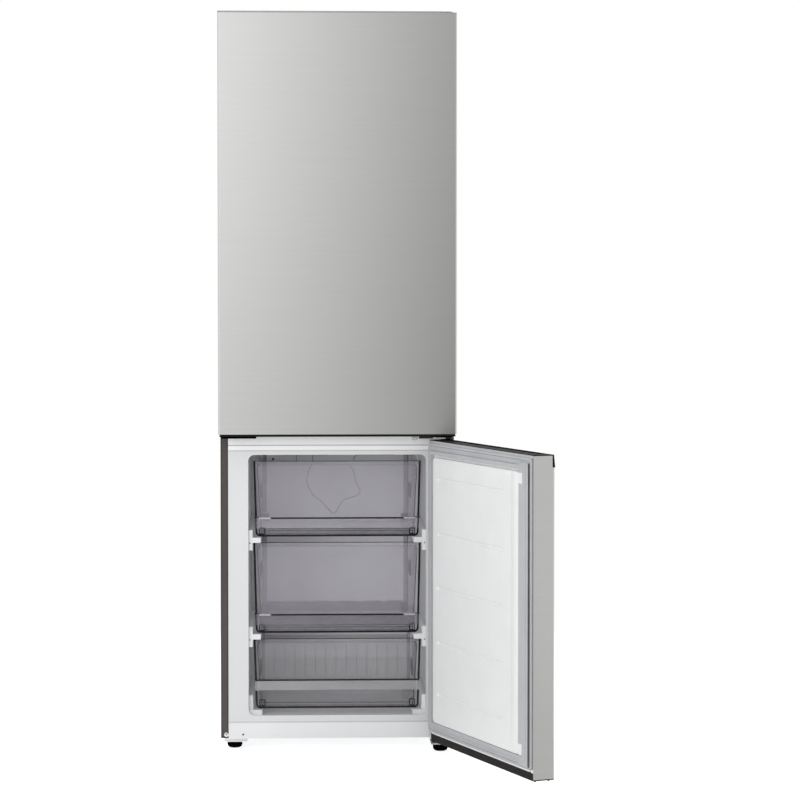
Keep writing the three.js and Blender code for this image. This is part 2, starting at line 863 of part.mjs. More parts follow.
function fanMotor() {
  const back = cabinetFront + freezerDepth - fit;
  const z = fanLevel;
  const plate = block(-fanPlate, fanPlate, back - 3, back, z - fanPlate / 2, z + fanPlate / 2);
  const face = back - 3 - fanMotorLength;
  const motor = pinAlongY(0, face, back - 1, z, fanMotorRadius);
  const shaft = pinAlongY(0, face - fanLength, face + 1, z, fanShaft, 3);
  return union([plate, motor, shaft]);
}

function evaporatorFan() {
  const back = cabinetFront + freezerDepth - fit - 3 - fanMotorLength - 1;
  const front = back - fanLength;
  const hub = pinAlongY(0, front - 2, back, fanLevel, fanHub, 5);
  const bore = pinAlongY(0, front - 3, back + 1, fanLevel, fanShaft + pinFit, 5);
  const blades = Array.from({ length: fanBlades }, (_, i) => {
    const blade = new THREE.BoxGeometry(fanRadius - fanHub + 3, 2, 24);
    blade.rotateX(THREE.MathUtils.degToRad(35));
    blade.translate((fanRadius + fanHub - 3) / 2, (front + back) / 2, 0);
    blade.rotateY((2 * Math.PI * i) / fanBlades);
    return solid(blade.translate(0, 0, fanLevel));
  });
  return union([hub, ...blades]).subtract(bore);
}

function drawer({ bottom, top, depth, rise }) {
  const y0 = drawerFront;
  const y1 = y0 + depth;
  const r = drawerCornerRadius;
  const face = new THREE.Shape();
  face.moveTo(drawerHalfTop, top);
  face.lineTo(-drawerHalfTop, top);
  face.lineTo(-drawerHalfBottom, bottom + r);
  face.absarc(-drawerHalfBottom + r, bottom + r, r, Math.PI, 1.5 * Math.PI);
  face.absarc(drawerHalfBottom - r, bottom + r, r, -Math.PI / 2, 0);
  face.closePath();
  const front = alongY(face, y0, y0 + drawerFrontThickness, 3);

  const rim = top - tubDrop;
  const cy = (y0 + y1) / 2;
  const plan = (grow) => rounded(
    -tubHalfWidth - grow, y0 + tubWall - grow, tubHalfWidth + grow, y1 + grow, r + grow,
  );
  const outer = tapered(plan(0), bottom, rim, tubTaper, 0, cy, 3);
  const flange = alongZ(plan(tubRim), rim - tubWall, rim, 3)
    .subtract(block(-half, half, 0, y0, 0, cabinetTop));
  const inner = tapered(plan(-tubWall), bottom + tubWall, top + 1, tubTaper, 0, cy, 3);
  const slotY = y1 - handSlotAhead;
  const slotTop = top - handSlotBelow;
  const slots = alongX(
    rounded(
      slotY - handSlotLength / 2, slotTop - handSlotHeight,
      slotY + handSlotLength / 2, slotTop, handSlotHeight / 2.2,
    ),
    -half, half, 3,
  );

  const hy = y0 - handleProjection;
  const hz0 = bottom + rise;
  const hz1 = hz0 + handleHeight;
  const handle = alongX(
    polygon([
      [hy, hz0], [hy + handleWall, hz0], [hy + handleWall, hz1 - handleWall],
      [y0 + 1, hz1 - handleWall], [y0 + 1, hz1], [hy, hz1],
    ]),
    -handleHalfWidth, handleHalfWidth,
  );
  return union([outer, flange]).subtract(inner).subtract(slots).add(front).add(handle);
}

// ---------------------------------------------------------------- compressor bay

function compressor() {
  const y = (bayFront + backPanel) / 2;
  const z0 = baseHeight + panSheet + fit;
  const z1 = z0 + compressorFoot;
  const z2 = z1 + compressorPlate;
  const z3 = z2 + compressorBody;
  const reach = [compressorRadiusX * 0.85, compressorRadiusY * 0.95];
  const feet = [[1, 1], [1, -1], [-1, 1], [-1, -1]].map(([a, b]) => pin(
    compressorX + a * reach[0], y + b * reach[1], z0, z1 + 1, 11, 12,
  ));
  const plate = alongZ(
    rounded(
      compressorX - reach[0] - 16, y - reach[1] - 16,
      compressorX + reach[0] + 16, y + reach[1] + 16, 14,
    ),
    z1, z2, 3,
  );
  const profile = [
    [0, z2 - 1], [0.72, z2 - 1], [0.9, z2 + 14], [1, z2 + 40], [1, z3 - 52],
    [0.92, z3 - 22], [0.62, z3 - 4], [0, z3],
  ];
  const dome = new THREE.LatheGeometry(profile.map(([r, z]) => new THREE.Vector2(r, z)), 28)
    .rotateX(Math.PI / 2)
    .scale(compressorRadiusX, compressorRadiusY, 1)
    .translate(compressorX, y, 0);
  return union([plate, ...feet, solid(dome)]);
}

function dripTray() {
  const y = (bayFront + backPanel) / 2;
  const z0 = baseHeight + panSheet + fit + compressorFoot + compressorPlate + compressorBody + fit;
  const plan = (inset) => rounded(
    compressorX - trayHalfLength + inset, y - trayHalfWidth + inset,
    compressorX + trayHalfLength - inset, y + trayHalfWidth - inset, 14,
  );
  const outer = tapered(plan(0), z0, z0 + trayHeight, 0.94, compressorX, y, 3);
  const inner = tapered(plan(trayWall), z0 + trayWall, z0 + trayHeight + 1, 0.94, compressorX, y, 3);
  return outer.subtract(inner);
}

// One tube that winds up the back wall, between the foam and the rear panel
function condenserCoil() {
  const y = backPanel - fit - condenserTube;
  const points = [];
  for (let i = 0; i < condenserRuns; i += 1) {
    const z = condenserBottom + i * condenserPitch;
    const start = i % 2 ? condenserHalfWidth : -condenserHalfWidth;
    points.push(new THREE.Vector3(start, y, z), new THREE.Vector3(-start, y, z));
  }
  return tube(points, condenserTube, 40, 5, 90);
}

// ---------------------------------------------------------------- hinges, feet and rollers

function middleHinge() {
  const z = lowerDoorTop + (doorGap - hingePlate) / 2;
  const x1 = hingeX + hingeReach + 7;
  const x0 = x1 - hingeWidth;
  const y = cabinetFront - fit;
  const plan = polygon([
    [x0, y], [x0, y - hingeLeg], [hingeX - hingeReach, hingeY - hingeReach + 4],
    [hingeX - hingeReach + 4, hingeY - hingeReach], [hingeX + hingeReach, hingeY - hingeReach],
    [x1, hingeY], [x1, y],
  ]);
  const plate = alongZ(plan, z, z + hingePlate);
  const leg = block(x0, x1, y - hingeLeg, y, lowerDoorTop + 1, upperDoorBottom - 1);
  const pins = pin(hingeX, hingeY, z - hingePinLength, z + hingePlate + hingePinLength, hingePin);
  return union([plate, leg, pins]);
}

function topHinge() {
  const z = cabinetTop + fit;
  const x1 = half - 6;
  const x0 = x1 - hingeWidth;
  const y1 = cabinetFront + topHingeBack;
  const plan = polygon([
    [x0, cabinetFront], [hingeX - hingeReach, hingeY - hingeReach],
    [hingeX + hingeReach - 3, hingeY - hingeReach], [x1, hingeY], [x1, y1], [x0, y1],
  ]);
  const plate = alongZ(plan, z, z + hingePlate - 1);
  return plate.add(pin(hingeX, hingeY, z - hingePinLength, z + hingePlate - 1, hingePin));
}

function topHingeCover() {
  const z = cabinetTop + fit;
  const w = hingeCoverWall;
  const gap = w + hingeCoverGap;
  const x1 = half - 6 + gap;
  const x0 = x1 - hingeWidth - 2 * gap;
  const y0 = cabinetFront + hingeCoverBack;
  const y1 = cabinetFront + topHingeBack + gap;
  const outer = alongZ(rounded(x0, y0, x1, y1, 6), z, z + hingeCoverHeight, 3);
  const inner = alongZ(rounded(x0 + w, y0 + w, x1 - w, y1 - w, 3), z - 1, z + hingeCoverHeight - w, 3);
  const mouth = block(x0 + w, x1 - w, y0 - 1, y0 + w + 1, z - 1, z + hingePlate);
  return outer.subtract(inner).subtract(mouth);
}

// Z-bent plate under the base, with the pin that the freezer door stands on
function lowerHinge() {
  const z1 = baseHeight - fit;
  const t = hingePlate;
  const z0 = z1 - lowerHingeDrop;
  const y0 = hingeY - hingeReach;
  const y1 = cabinetFront + 1.5;
  const y2 = cabinetFront + footBracketDepth;
  const under = apronThickness + fit; // passes beneath the apron's return
  const profile = polygon([
    [y0, z0 - t], [y1 + 14, z0 - t], [y1 + 14, z1 - t - under], [y2, z1 - t - under],
    [y2, z1 - under], [y1 + 10, z1 - under], [y1 + 10, z0], [y0, z0],
  ]);
  const x1 = half - 2;
  const plate = alongX(profile, x1 - footBracketWidth, x1);
  const hole = pin(rightFootX, rightFootY, 0, z1, footStud + pinFit);
  const bolt = pin(hingeX, hingeY, z0 - 1, lowerDoorBottom + hingePinLength, hingePin);
  return plate.subtract(hole).add(bolt);
}

function leftFootBracket() {
  const z1 = baseHeight - fit;
  const z0 = z1 - footBracketHeight;
  const t = footBracketSheet;
  const x0 = -half + 8;
  const x1 = x0 + footBracketWidth;
  const y0 = leftFootY - footBracketDepth / 3;
  const drop = apronThickness + fit;
  const profile = polygon([
    [x0, z0], [x0 + t, z0], [x0 + t, z1 - t - drop], [x1 - t, z1 - t - drop], [x1 - t, z0], [x1, z0],
    [x1, z1 - drop], [x0, z1 - drop],
  ]);
  const channel = alongY(profile, y0, y0 + footBracketDepth);
  const hole = pin(leftFootX, leftFootY, 0, z1, footStud + pinFit);
  return channel.subtract(hole);
}

function levellingFoot(x, y, studTop) {
  const r = footRadius;
  return turned([
    [0, 0], [r - footTaper, 0], [r - footTaper / 3, 2], [r, footTaper + 1], [r, footHeight - 1],
    [r - 1, footHeight], [footStud, footHeight], [footStud, studTop], [0, studTop],
  ], x, y, 16);
}

function roller(side) {
  const x = side * (half - rollerInset);
  const y = cabinetBack - rollerFromBack;
  const wheel = pinAlongX(x - rollerWidth / 2, x + rollerWidth / 2, y, rollerRadius, rollerRadius, 8);
  return wheel.subtract(
    pinAlongX(x - rollerWidth, x + rollerWidth, y, rollerRadius, rollerAxle + pinFit, 4),
  );
}

function rollerBracket(side) {
  const x = side * (half - rollerInset);
  const y = cabinetBack - rollerFromBack;
  const reach = rollerWidth / 2 + 1 + rollerFork;
  const z1 = baseHeight - fit;
  const cheeks = [-1, 1].map((hand) => {
    const outside = x + hand * reach;
    const inside = x + hand * (reach - rollerFork);
    return alongX(
      polygon([[y - 8, 6], [y + 8, 6], [y + 16, z1], [y - 16, z1]]),
      Math.min(outside, inside), Math.max(outside, inside),
    );
  });
  const axle = pinAlongX(x - reach, x + reach, y, rollerRadius, rollerAxle, 4);
  const bridge = block(x - reach, x + reach, y - 16, y + 16, z1 - 1.2, z1);
  return union([...cheeks, axle, bridge]);
}

// ---------------------------------------------------------------- doors

// C-shaped skin, seen from above: front, two sides and a return behind each
function doorSkin(bottom, top) {
  const x = doorWidth / 2;
  const t = doorSheet;
  const r = doorEdgeRadius;
  const shape = new THREE.Shape();
  shape.moveTo(-x + doorReturn, doorDepth);
  shape.lineTo(-x, doorDepth);
  shape.absarc(-x + r, r, r, Math.PI, 1.5 * Math.PI);
  shape.absarc(x - r, r, r, -Math.PI / 2, 0);
  shape.lineTo(x, doorDepth);
  shape.lineTo(x - doorReturn, doorDepth);
  shape.lineTo(x - doorReturn, doorDepth - t);
  shape.lineTo(x - t, doorDepth - t);
  shape.absarc(x - r, r, r - t, 0, -Math.PI / 2, true);
  shape.absarc(-x + r, r, r - t, -Math.PI / 2, -Math.PI, true);
  shape.lineTo(-x + t, doorDepth - t);
  shape.lineTo(-x + doorReturn, doorDepth - t);
  shape.closePath();
  return alongZ(shape, bottom, top);
}

// The space inside the skin and in front of the liner, seen from above
function doorCore() {
  const inset = doorSheet + fit;
  const x = doorWidth / 2 - inset;
  return rounded(-x, inset, x, coreBack, doorEdgeRadius - doorSheet);
}

function doorFoam(bottom, top) {
  return alongZ(doorCore(), bottom, top);
}

// Part of an end cap that shows at the door's rim, above or below the liner
function capFace(bottom, top) {
  const x = doorWidth / 2 - doorReturn - fit;
  return block(-x, x, coreBack - 1, doorDepth, bottom, top);
}

function linerPlate(bottom, top) {
  const x = doorWidth / 2 - doorReturn - fit;
  return block(-x, x, doorDepth - doorLinerPlate, doorDepth, bottom, top);
}

function gasket(bottom, top) {
  const x = doorWidth / 2 - gasketMargin;
  const ring = (inset, width, depth) => {
    const outline = rounded(-x + inset, bottom + inset, x - inset, top - inset, 6);
    const inner = inset + width;
    outline.holes.push(rounded(-x + inner, bottom + inner, x - inner, top - inner, 4));
    return alongY(outline, doorDepth + fit, doorDepth + depth, 2);
  };
  return ring(0, gasketWing + 1, gasketWingDepth).add(ring(gasketWing, gasketLip, gasketDepth));
}

function pinHole(z0, z1) {
  return pin(hingeX, hingeY, z0, z1, hingePin + pinFit);
}

function upperTopCap() {
  const x = doorWidth / 2;
  const rim = upperDoorTop - upperTopCapRim;
  const plate = alongZ(rounded(-x, 0, x, doorDepth, doorEdgeRadius), rim + fit, upperDoorTop);
  const plug = alongZ(doorCore(), rim - capPlug, rim + 2 * fit);
  const seat = block(
    half - 6 - hingeWidth - hingeSeatFront, x + 1, hingeSeatFront, doorDepth + 1,
    cabinetTop, upperDoorTop + 1,
  );
  const mouth = block(
    hingeX - hingeSeatMouth, x + 1, -1, hingeSeatFront + 1, cabinetTop, upperDoorTop + 1,
  );
  const hole = pinHole(cabinetTop - hingePinLength - 2, upperDoorTop + 1);
  return plate.add(plug).subtract(seat).subtract(mouth).subtract(hole);
}

function upperBottomCap() {
  const x = doorWidth / 2 - bottomCapInset;
  const rim = upperDoorBottom + upperBottomCapRim;
  const outline = rounded(-x, 0.5, x, doorDepth, doorEdgeRadius);
  const plate = alongZ(outline, upperDoorBottom, rim - fit);
  const plug = alongZ(doorCore(), rim - 2 * fit, rim + capPlug);
  return plate.add(plug).subtract(pinHole(upperDoorBottom - 1, upperDoorBottom + hingePinLength));
}

// The raised frame on the upper door's liner, with the lugs that the bins hang on
function upperInnerFrame(bottom, top) {
  const x = doorWidth / 2 - damMargin;
  const outline = rounded(-x, bottom + damEnd, x, top - damEnd - wrapFlange, 14);
  outline.holes.push(rounded(
    -x + damWidth, bottom + damEnd + damWidth, x - damWidth, top - damEnd - wrapFlange - damWidth, 8,
  ));
  const front = doorDepth + fit;
  const dam = alongY(outline, front, doorDepth + damDepth, 3);
  const wall = x - damWidth;
  const lugs = binLevels.flatMap((level) => [-1, 1].map((side) => {
    const tip = side * (wall - binRim);
    const root = side * (wall + 1);
    const z1 = level + binHeight - binWall - fit;
    return block(
      Math.min(tip, root), Math.max(tip, root),
      front, doorDepth + lugDepth,
      z1 - lugHeight, z1,
    );
  }));
  return union([dam, ...lugs]);
}

// A bin hangs by its side rims on lugs of the door's inner frame
function doorBin(level) {
  const wall = doorWidth / 2 - damMargin - damWidth;
  const x = wall - binRim - fit;
  const y0 = doorDepth + fit;
  const y1 = y0 + binDepth;
  const top = level + binHeight;
  const w = binWall;
  const outer = alongZ(rounded(-x, y0, x, y1, 6), level, top, 2);
  const inner = alongZ(rounded(-x + w, y0 + w, x - w, y1 - w, 4), level + w, top + 1, 2);
  const rim = wall - fit;
  const rims = alongZ(rectangle(-rim, y0, rim, y0 + lugDepth), top - w, top);
  return union([outer, rims]).subtract(inner);
}

function lowerLiner() {
  const bottom = lowerDoorBottom + lowerBottomCapHeight + fit;
  const top = lowerLinerTop;
  const x = doorWidth / 2 - panelMargin;
  const r = panelRadius;
  const low = panelBottom + panelStepHeight;
  const high = panelTop - panelStepHeight;
  const face = new THREE.Shape();
  face.absarc(x - r, panelBottom + r, r, -Math.PI / 2, 0);
  face.absarc(x - r, panelTop - r, r, 0, Math.PI / 2);
  face.lineTo(-x, panelTop);
  face.lineTo(-x, high);
  face.lineTo(-x + panelStep, high);
  face.lineTo(-x + panelStep, low);
  face.lineTo(-x, low);
  face.lineTo(-x, panelBottom);
  face.closePath();
  const panel = alongY(face, doorDepth - 0.5, doorDepth + panelRise);
  const x1 = doorWidth / 2 - panelRibInset;
  const x0 = -doorWidth / 2 + panelRibEnd;
  const levels = panelRibShares.map((share) => panelBottom + share * (panelTop - panelBottom));
  const grooves = levels.map((z) => alongX(
    polygon([
      [doorDepth + panelRise - panelRibDepth, z], [doorDepth + panelRise + 1, z - panelRibHeight / 2 - 1],
      [doorDepth + panelRise + 1, z + panelRibHeight / 2 + 1],
    ]),
    x0, x1,
  ));
  return grooves.reduce((body, groove) => body.subtract(groove), linerPlate(bottom, top).add(panel));
}

function lowerSkin() {
  const reach = gripThickness + 0.5;
  const z = lowerDoorTop - gripHeight;
  const notch = new THREE.Shape();
  notch.moveTo(-1, z);
  notch.lineTo(reach - 3, z);
  notch.absarc(reach - 3, z + 3, 3, -Math.PI / 2, 0);
  notch.lineTo(reach, lowerDoorTop + 1);
  notch.lineTo(-1, lowerDoorTop + 1);
  notch.closePath();
  const skin = doorSkin(lowerDoorBottom + lowerBottomCapRim, lowerDoorTop - lowerTopCapRim - fit);
  return skin.subtract(alongX(notch, -doorWidth, doorWidth, 3));
}

// Cap with a leaning grip lip along its front and a finger pocket behind the lip
function lowerTopCap() {
  const x = doorWidth / 2;
  const z1 = lowerDoorTop;
  const z0 = z1 - gripHeight + fit;
  const plate = alongZ(
    rounded(-x, gripLean, x, doorDepth, doorEdgeRadius - 2),
    z1 - lowerTopCapRim, z1,
  );
  const lip = alongX(
    polygon([[0, z0], [gripThickness - 2, z0], [gripThickness, z0 + 2], [gripThickness, z1],
      [gripLean, z1]]),
    -x, x,
  );
  const core = alongZ(doorCore(), z0, z1 - lowerTopCapRim + 0.5)
    .subtract(block(-x, x, 0, gripThickness - 0.5, 0, z1 + 1));
  const pocketFront = gripThickness;
  const pocketBack = pocketFront + gripPocketWidth;
  const pocketEnd = hingeX - 4 * hingePin;
  const pocket = block(
    -x + gripEnd, pocketEnd, pocketFront, pocketBack, z1 - gripPocketDepth, z1 + 1,
  );
  const behind = block(
    -x + gripEnd, pocketEnd, pocketBack + gripWall, coreBack - gripWall,
    z0 - 1, z1 - lowerTopCapRim,
  );
  return union([plate, lip, core, capFace(lowerLinerTop + fit, z1 - 1)])
    .subtract(pocket)
    .subtract(behind)
    .subtract(pinHole(z1 - hingePinLength, z1 + 1));
}

function lowerBottomCap() {
  const x = doorWidth / 2;
  const z0 = lowerDoorBottom;
  const z1 = z0 + lowerBottomCapRim;
  const z2 = z0 + lowerBottomCapHeight;
  const plate = alongZ(rounded(-x, 0, x, doorDepth, doorEdgeRadius), z0, z1 - fit);
  const plug = alongZ(doorCore(), z1 - 2 * fit, z2);
  return union([plate, plug, capFace(z1 - 2 * fit, z2)])
    .subtract(pinHole(z0 - 1, z0 + hingePinLength + 1));
}

// A group that turns about the hinge pins, holding pieces drawn as with the door closed
function hungDoor(angle) {
  const swing = new THREE.Group();
  swing.position.set(hingeX, hingeY, 0);
  swing.rotation.z = THREE.MathUtils.degToRad(angle);
  const drawn = new THREE.Group();
  drawn.position.set(-hingeX, -hingeY, 0);
  swing.add(drawn);
  return { swing, drawn };
}

function upperDoor() {
  const { swing, drawn } = hungDoor(0);
  const low = upperDoorBottom + upperBottomCapRim;
  const high = upperDoorTop - upperTopCapRim;
  piece(drawn, 'upper_door_skin', 'steel', doorSkin(low, high));
  piece(drawn, 'upper_door_foam', 'foam', doorFoam(low + capPlug + fit, high - capPlug - fit));
  const linerBottom = upperDoorBottom + upperBottomCapRim + fit;
  const linerTop = upperDoorTop - upperTopCapRim - fit;
  piece(drawn, 'upper_door_liner', 'white', linerPlate(linerBottom, linerTop));
  piece(drawn, 'upper_door_inner_frame', 'white', upperInnerFrame(linerBottom, linerTop));
  piece(drawn, 'upper_door_top_cap', 'grey', upperTopCap());
  piece(drawn, 'upper_door_bottom_cap', 'black', upperBottomCap());
  piece(drawn, 'upper_door_gasket', 'rim', gasket(low + gasketMargin, high - gasketMargin));
  binLevels.forEach((level, i) => {
    piece(drawn, `door_bin_${i + 1}`, 'clear', doorBin(level));
  });
  return swing;
}

function freezerDoor() {
  const { swing, drawn } = hungDoor(freezerDoorAngle);
  const low = lowerDoorBottom + lowerBottomCapHeight;
  const high = lowerDoorTop - gripHeight;
  piece(drawn, 'freezer_door_skin', 'steel', lowerSkin());
  piece(drawn, 'freezer_door_foam', 'foam', doorFoam(low + fit, high));
  piece(drawn, 'freezer_door_liner', 'white', lowerLiner());
  piece(drawn, 'freezer_door_top_cap', 'black', lowerTopCap());
  piece(drawn, 'freezer_door_bottom_cap', 'black', lowerBottomCap());
  const top = lowerDoorTop - lowerTopCapRim;
  piece(drawn, 'freezer_door_gasket', 'rim', gasket(low + gasketMargin, top - gasketMargin));
  return swing;
}

// ---------------------------------------------------------------- assembly

function cabinet() {
  const group = new THREE.Group();
  piece(group, 'cabinet_shell', 'wrap', cabinetShell());
  piece(group, 'rear_panel', 'wrap', rearPanel());
  piece(group, 'compressor_cover', 'galvanised', compressorCover());
  piece(group, 'base_pan', 'galvanised', basePan());
  piece(group, 'compressor_deck', 'galvanised', compressorDeck());
  piece(group, 'cabinet_foam', 'foam', cabinetFoam());
  piece(group, 'fridge_liner', 'white', fridgeLiner());
  piece(group, 'freezer_liner', 'white', freezerLiner());
  piece(group, 'mullion', 'white', mullion());
  piece(group, 'front_apron', 'white', frontApron());
  return group;
}

function fridgeInterior() {
  const group = new THREE.Group();
  shelfLevels.forEach((level, i) => {
    piece(group, `glass_shelf_${i + 1}`, 'glass', glassShelf(level));
  });
  piece(group, 'crisper_cover', 'glass', glassShelf(crisperCoverLevel));
  piece(group, 'crisper_drawer_left', 'clear', crisperDrawer(-1));
  piece(group, 'crisper_drawer_right', 'clear', crisperDrawer(1));
  piece(group, 'air_duct_cover', 'white', airDuctCover());
  piece(group, 'ceiling_lamp', 'lamp', ceilingLamp());
  return group;
}

function freezerInterior() {
  const group = new THREE.Group();
  drawers.forEach((size) => {
    piece(group, `freezer_drawer_${size.name}`, 'smoked', drawer(size));
  });
  [topRunner, middleRunner].forEach((length, i) => {
    const { name, bottom } = drawers[i];
    piece(group, `${name}_runner_left`, 'white', runner(-1, bottom, length));
    piece(group, `${name}_runner_right`, 'white', runner(1, bottom, length));
  });
  piece(group, 'evaporator_cover', 'white', evaporatorCover());
  piece(group, 'evaporator_coil', 'aluminium', evaporatorCoil());
  piece(group, 'fan_motor', 'black', fanMotor());
  piece(group, 'evaporator_fan', 'black', evaporatorFan());
  return group;
}

function machinery() {
  const group = new THREE.Group();
  piece(group, 'compressor', 'black', compressor());
  piece(group, 'drip_tray', 'black', dripTray());
  piece(group, 'condenser_coil', 'copper', condenserCoil());
  return group;
}

function hingesAndFeet() {
  const group = new THREE.Group();
  piece(group, 'top_hinge', 'galvanised', topHinge());
  piece(group, 'top_hinge_cover', 'black', topHingeCover());
  piece(group, 'middle_hinge', 'black', middleHinge());
  piece(group, 'lower_hinge', 'galvanised', lowerHinge());
  piece(group, 'left_foot_bracket', 'grey', leftFootBracket());
  const underBase = baseHeight - 2 * fit;
  piece(group, 'front_foot_left', 'black', levellingFoot(leftFootX, leftFootY, underBase));
  piece(group, 'front_foot_right', 'black', levellingFoot(rightFootX, rightFootY, lowerDoorBottom - 1));
  piece(group, 'roller_bracket_left', 'galvanised', rollerBracket(-1));
  piece(group, 'roller_bracket_right', 'galvanised', rollerBracket(1));
  piece(group, 'rear_roller_left', 'black', roller(-1));
  piece(group, 'rear_roller_right', 'black', roller(1));
  return group;
}

const refrigerator = new THREE.Group();
refrigerator.add(
  cabinet(), fridgeInterior(), freezerInterior(), machinery(), hingesAndFeet(), upperDoor(), freezerDoor(),
);

// Origin on the floor, under the middle of the footprint box
const box = new THREE.Box3().setFromObject(refrigerator, true);
const middle = box.getCenter(new THREE.Vector3());
refrigerator.position.set(-middle.x, -middle.y, -box.min.z);

export default refrigerator;
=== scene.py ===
import json
import math
from types import SimpleNamespace

import bmesh
import bpy
from mathutils import Matrix, Vector
from mathutils.geometry import tessellate_polygon


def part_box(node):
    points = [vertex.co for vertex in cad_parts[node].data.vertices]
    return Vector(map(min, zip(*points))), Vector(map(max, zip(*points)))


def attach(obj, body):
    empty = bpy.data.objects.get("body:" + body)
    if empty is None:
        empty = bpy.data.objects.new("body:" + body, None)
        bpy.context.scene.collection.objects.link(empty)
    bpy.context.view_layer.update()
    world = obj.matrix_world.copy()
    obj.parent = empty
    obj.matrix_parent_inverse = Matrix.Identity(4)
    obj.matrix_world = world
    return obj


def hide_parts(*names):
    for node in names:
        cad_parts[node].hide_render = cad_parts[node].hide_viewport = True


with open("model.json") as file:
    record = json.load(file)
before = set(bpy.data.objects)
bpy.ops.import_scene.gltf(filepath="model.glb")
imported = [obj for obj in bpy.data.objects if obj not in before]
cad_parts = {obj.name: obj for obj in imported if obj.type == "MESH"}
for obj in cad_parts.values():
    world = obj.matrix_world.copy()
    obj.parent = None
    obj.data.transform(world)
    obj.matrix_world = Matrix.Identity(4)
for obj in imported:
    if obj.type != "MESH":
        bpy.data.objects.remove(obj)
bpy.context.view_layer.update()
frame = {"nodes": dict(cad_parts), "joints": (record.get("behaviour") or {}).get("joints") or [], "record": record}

# ---- places
# Pieces are drawn in millimetres: x right from the cabinet's centre plane, y back from the outer
# face of the closed doors, z up from the floor. at() takes such a place into the row frame.

MM = 0.001
SIDES = (-1, 1)
HANDS = (("left", -1), ("right", 1))
shell_low, shell_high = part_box("cabinet_shell")
ORIGIN = Vector(((shell_low.x + shell_high.x) / 2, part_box("upper_door_skin")[0].y, 0))


def at(x, y, z):
    return Vector((x, y, z)) * MM + ORIGIN


def span(name):
    """A node's box at rest, in drawing millimetres."""
    low, high = [(corner - ORIGIN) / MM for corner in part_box(name)]
    return SimpleNamespace(x0=low.x, x1=high.x, y0=low.y, y1=high.y, z0=low.z, z1=high.z)


def open_turn():
    """The freezer door's angle at rest, the turn to it from closed, and the hinge's axis."""
    joint = next(j for j in frame["joints"] if j["name"] == "freezer_door_hinge")
    pin = Vector((joint["pos_m"][0], joint["pos_m"][1], 0))
    angle = math.radians(-joint["range_deg"][0])
    spin = Matrix.Rotation(angle, 4, "Z")
    return angle, Matrix.Translation(pin) @ spin @ Matrix.Translation(-pin), (pin - ORIGIN) / MM


DOOR_ANGLE, DOOR_TURN, HINGE_PIN = open_turn()

CABINET = span("cabinet_shell")
UPPER_BOTTOM = span("upper_door_bottom_cap").z0
LOWER_BOTTOM = span("freezer_door_bottom_cap").z0
LOWER_TOP = span("freezer_door_top_cap").z1
MULLION = span("mullion")
APRON = span("front_apron")
COVER = span("evaporator_cover")

DOOR_HALF = span("upper_door_skin").x1
DOOR_DEPTH = 55.5  # to the liner's flange
PANEL_FACE = 65.2  # inner face of the freezer door's panel, from the door's outer face

# ---- mesh building

SHARP_ANGLE = 35
PANEL_SHARP_ANGLE = 50
BEVEL_ANGLE = 40
SOLID_SHARP_ANGLE = 32
WELD = 0.01


def rectangle(u0, u1, v0, v1):
    return [(u0, v0), (u1, v0), (u1, v1), (u0, v1)]


def rounded(u0, u1, v0, v1, radius, steps=4):
    points = []
    corners = [
        (u1 - radius, v0 + radius, -90),
        (u1 - radius, v1 - radius, 0),
        (u0 + radius, v1 - radius, 90),
        (u0 + radius, v0 + radius, 180),
    ]
    for cu, cv, first in corners:
        for i in range(steps + 1):
            angle = math.radians(first + 90 * i / steps)
            points.append((cu + radius * math.cos(angle), cv + radius * math.sin(angle)))
    return points


def disc(u, v, radius, steps):
    angles = [2 * math.pi * i / steps for i in range(steps)]
    return [(u + radius * math.cos(a), v + radius * math.sin(a)) for a in angles]


def strip_path(points, half_width):
    """A polyline as a closed outline of even width."""
    left, right = [], []
    for i, point in enumerate(points):
        before = Vector(points[max(i - 1, 0)])
        after = Vector(points[min(i + 1, len(points) - 1)])
        along = (after - before).normalized()
        across = Vector((-along.y, along.x)) * half_width
        left.append(tuple(Vector(point) + across))
        right.append(tuple(Vector(point) - across))
    return left + right[::-1]


def button(radius, low, high):
    """Lathe profile of a plain disc."""
    return [(0, low), (radius, low), (radius, high), (0, high)]


PLACES = {
    "x": lambda point, along: at(along, *point),
    "y": lambda point, along: at(point[0], along, point[1]),
    "z": lambda point, along: at(*point, along),
}


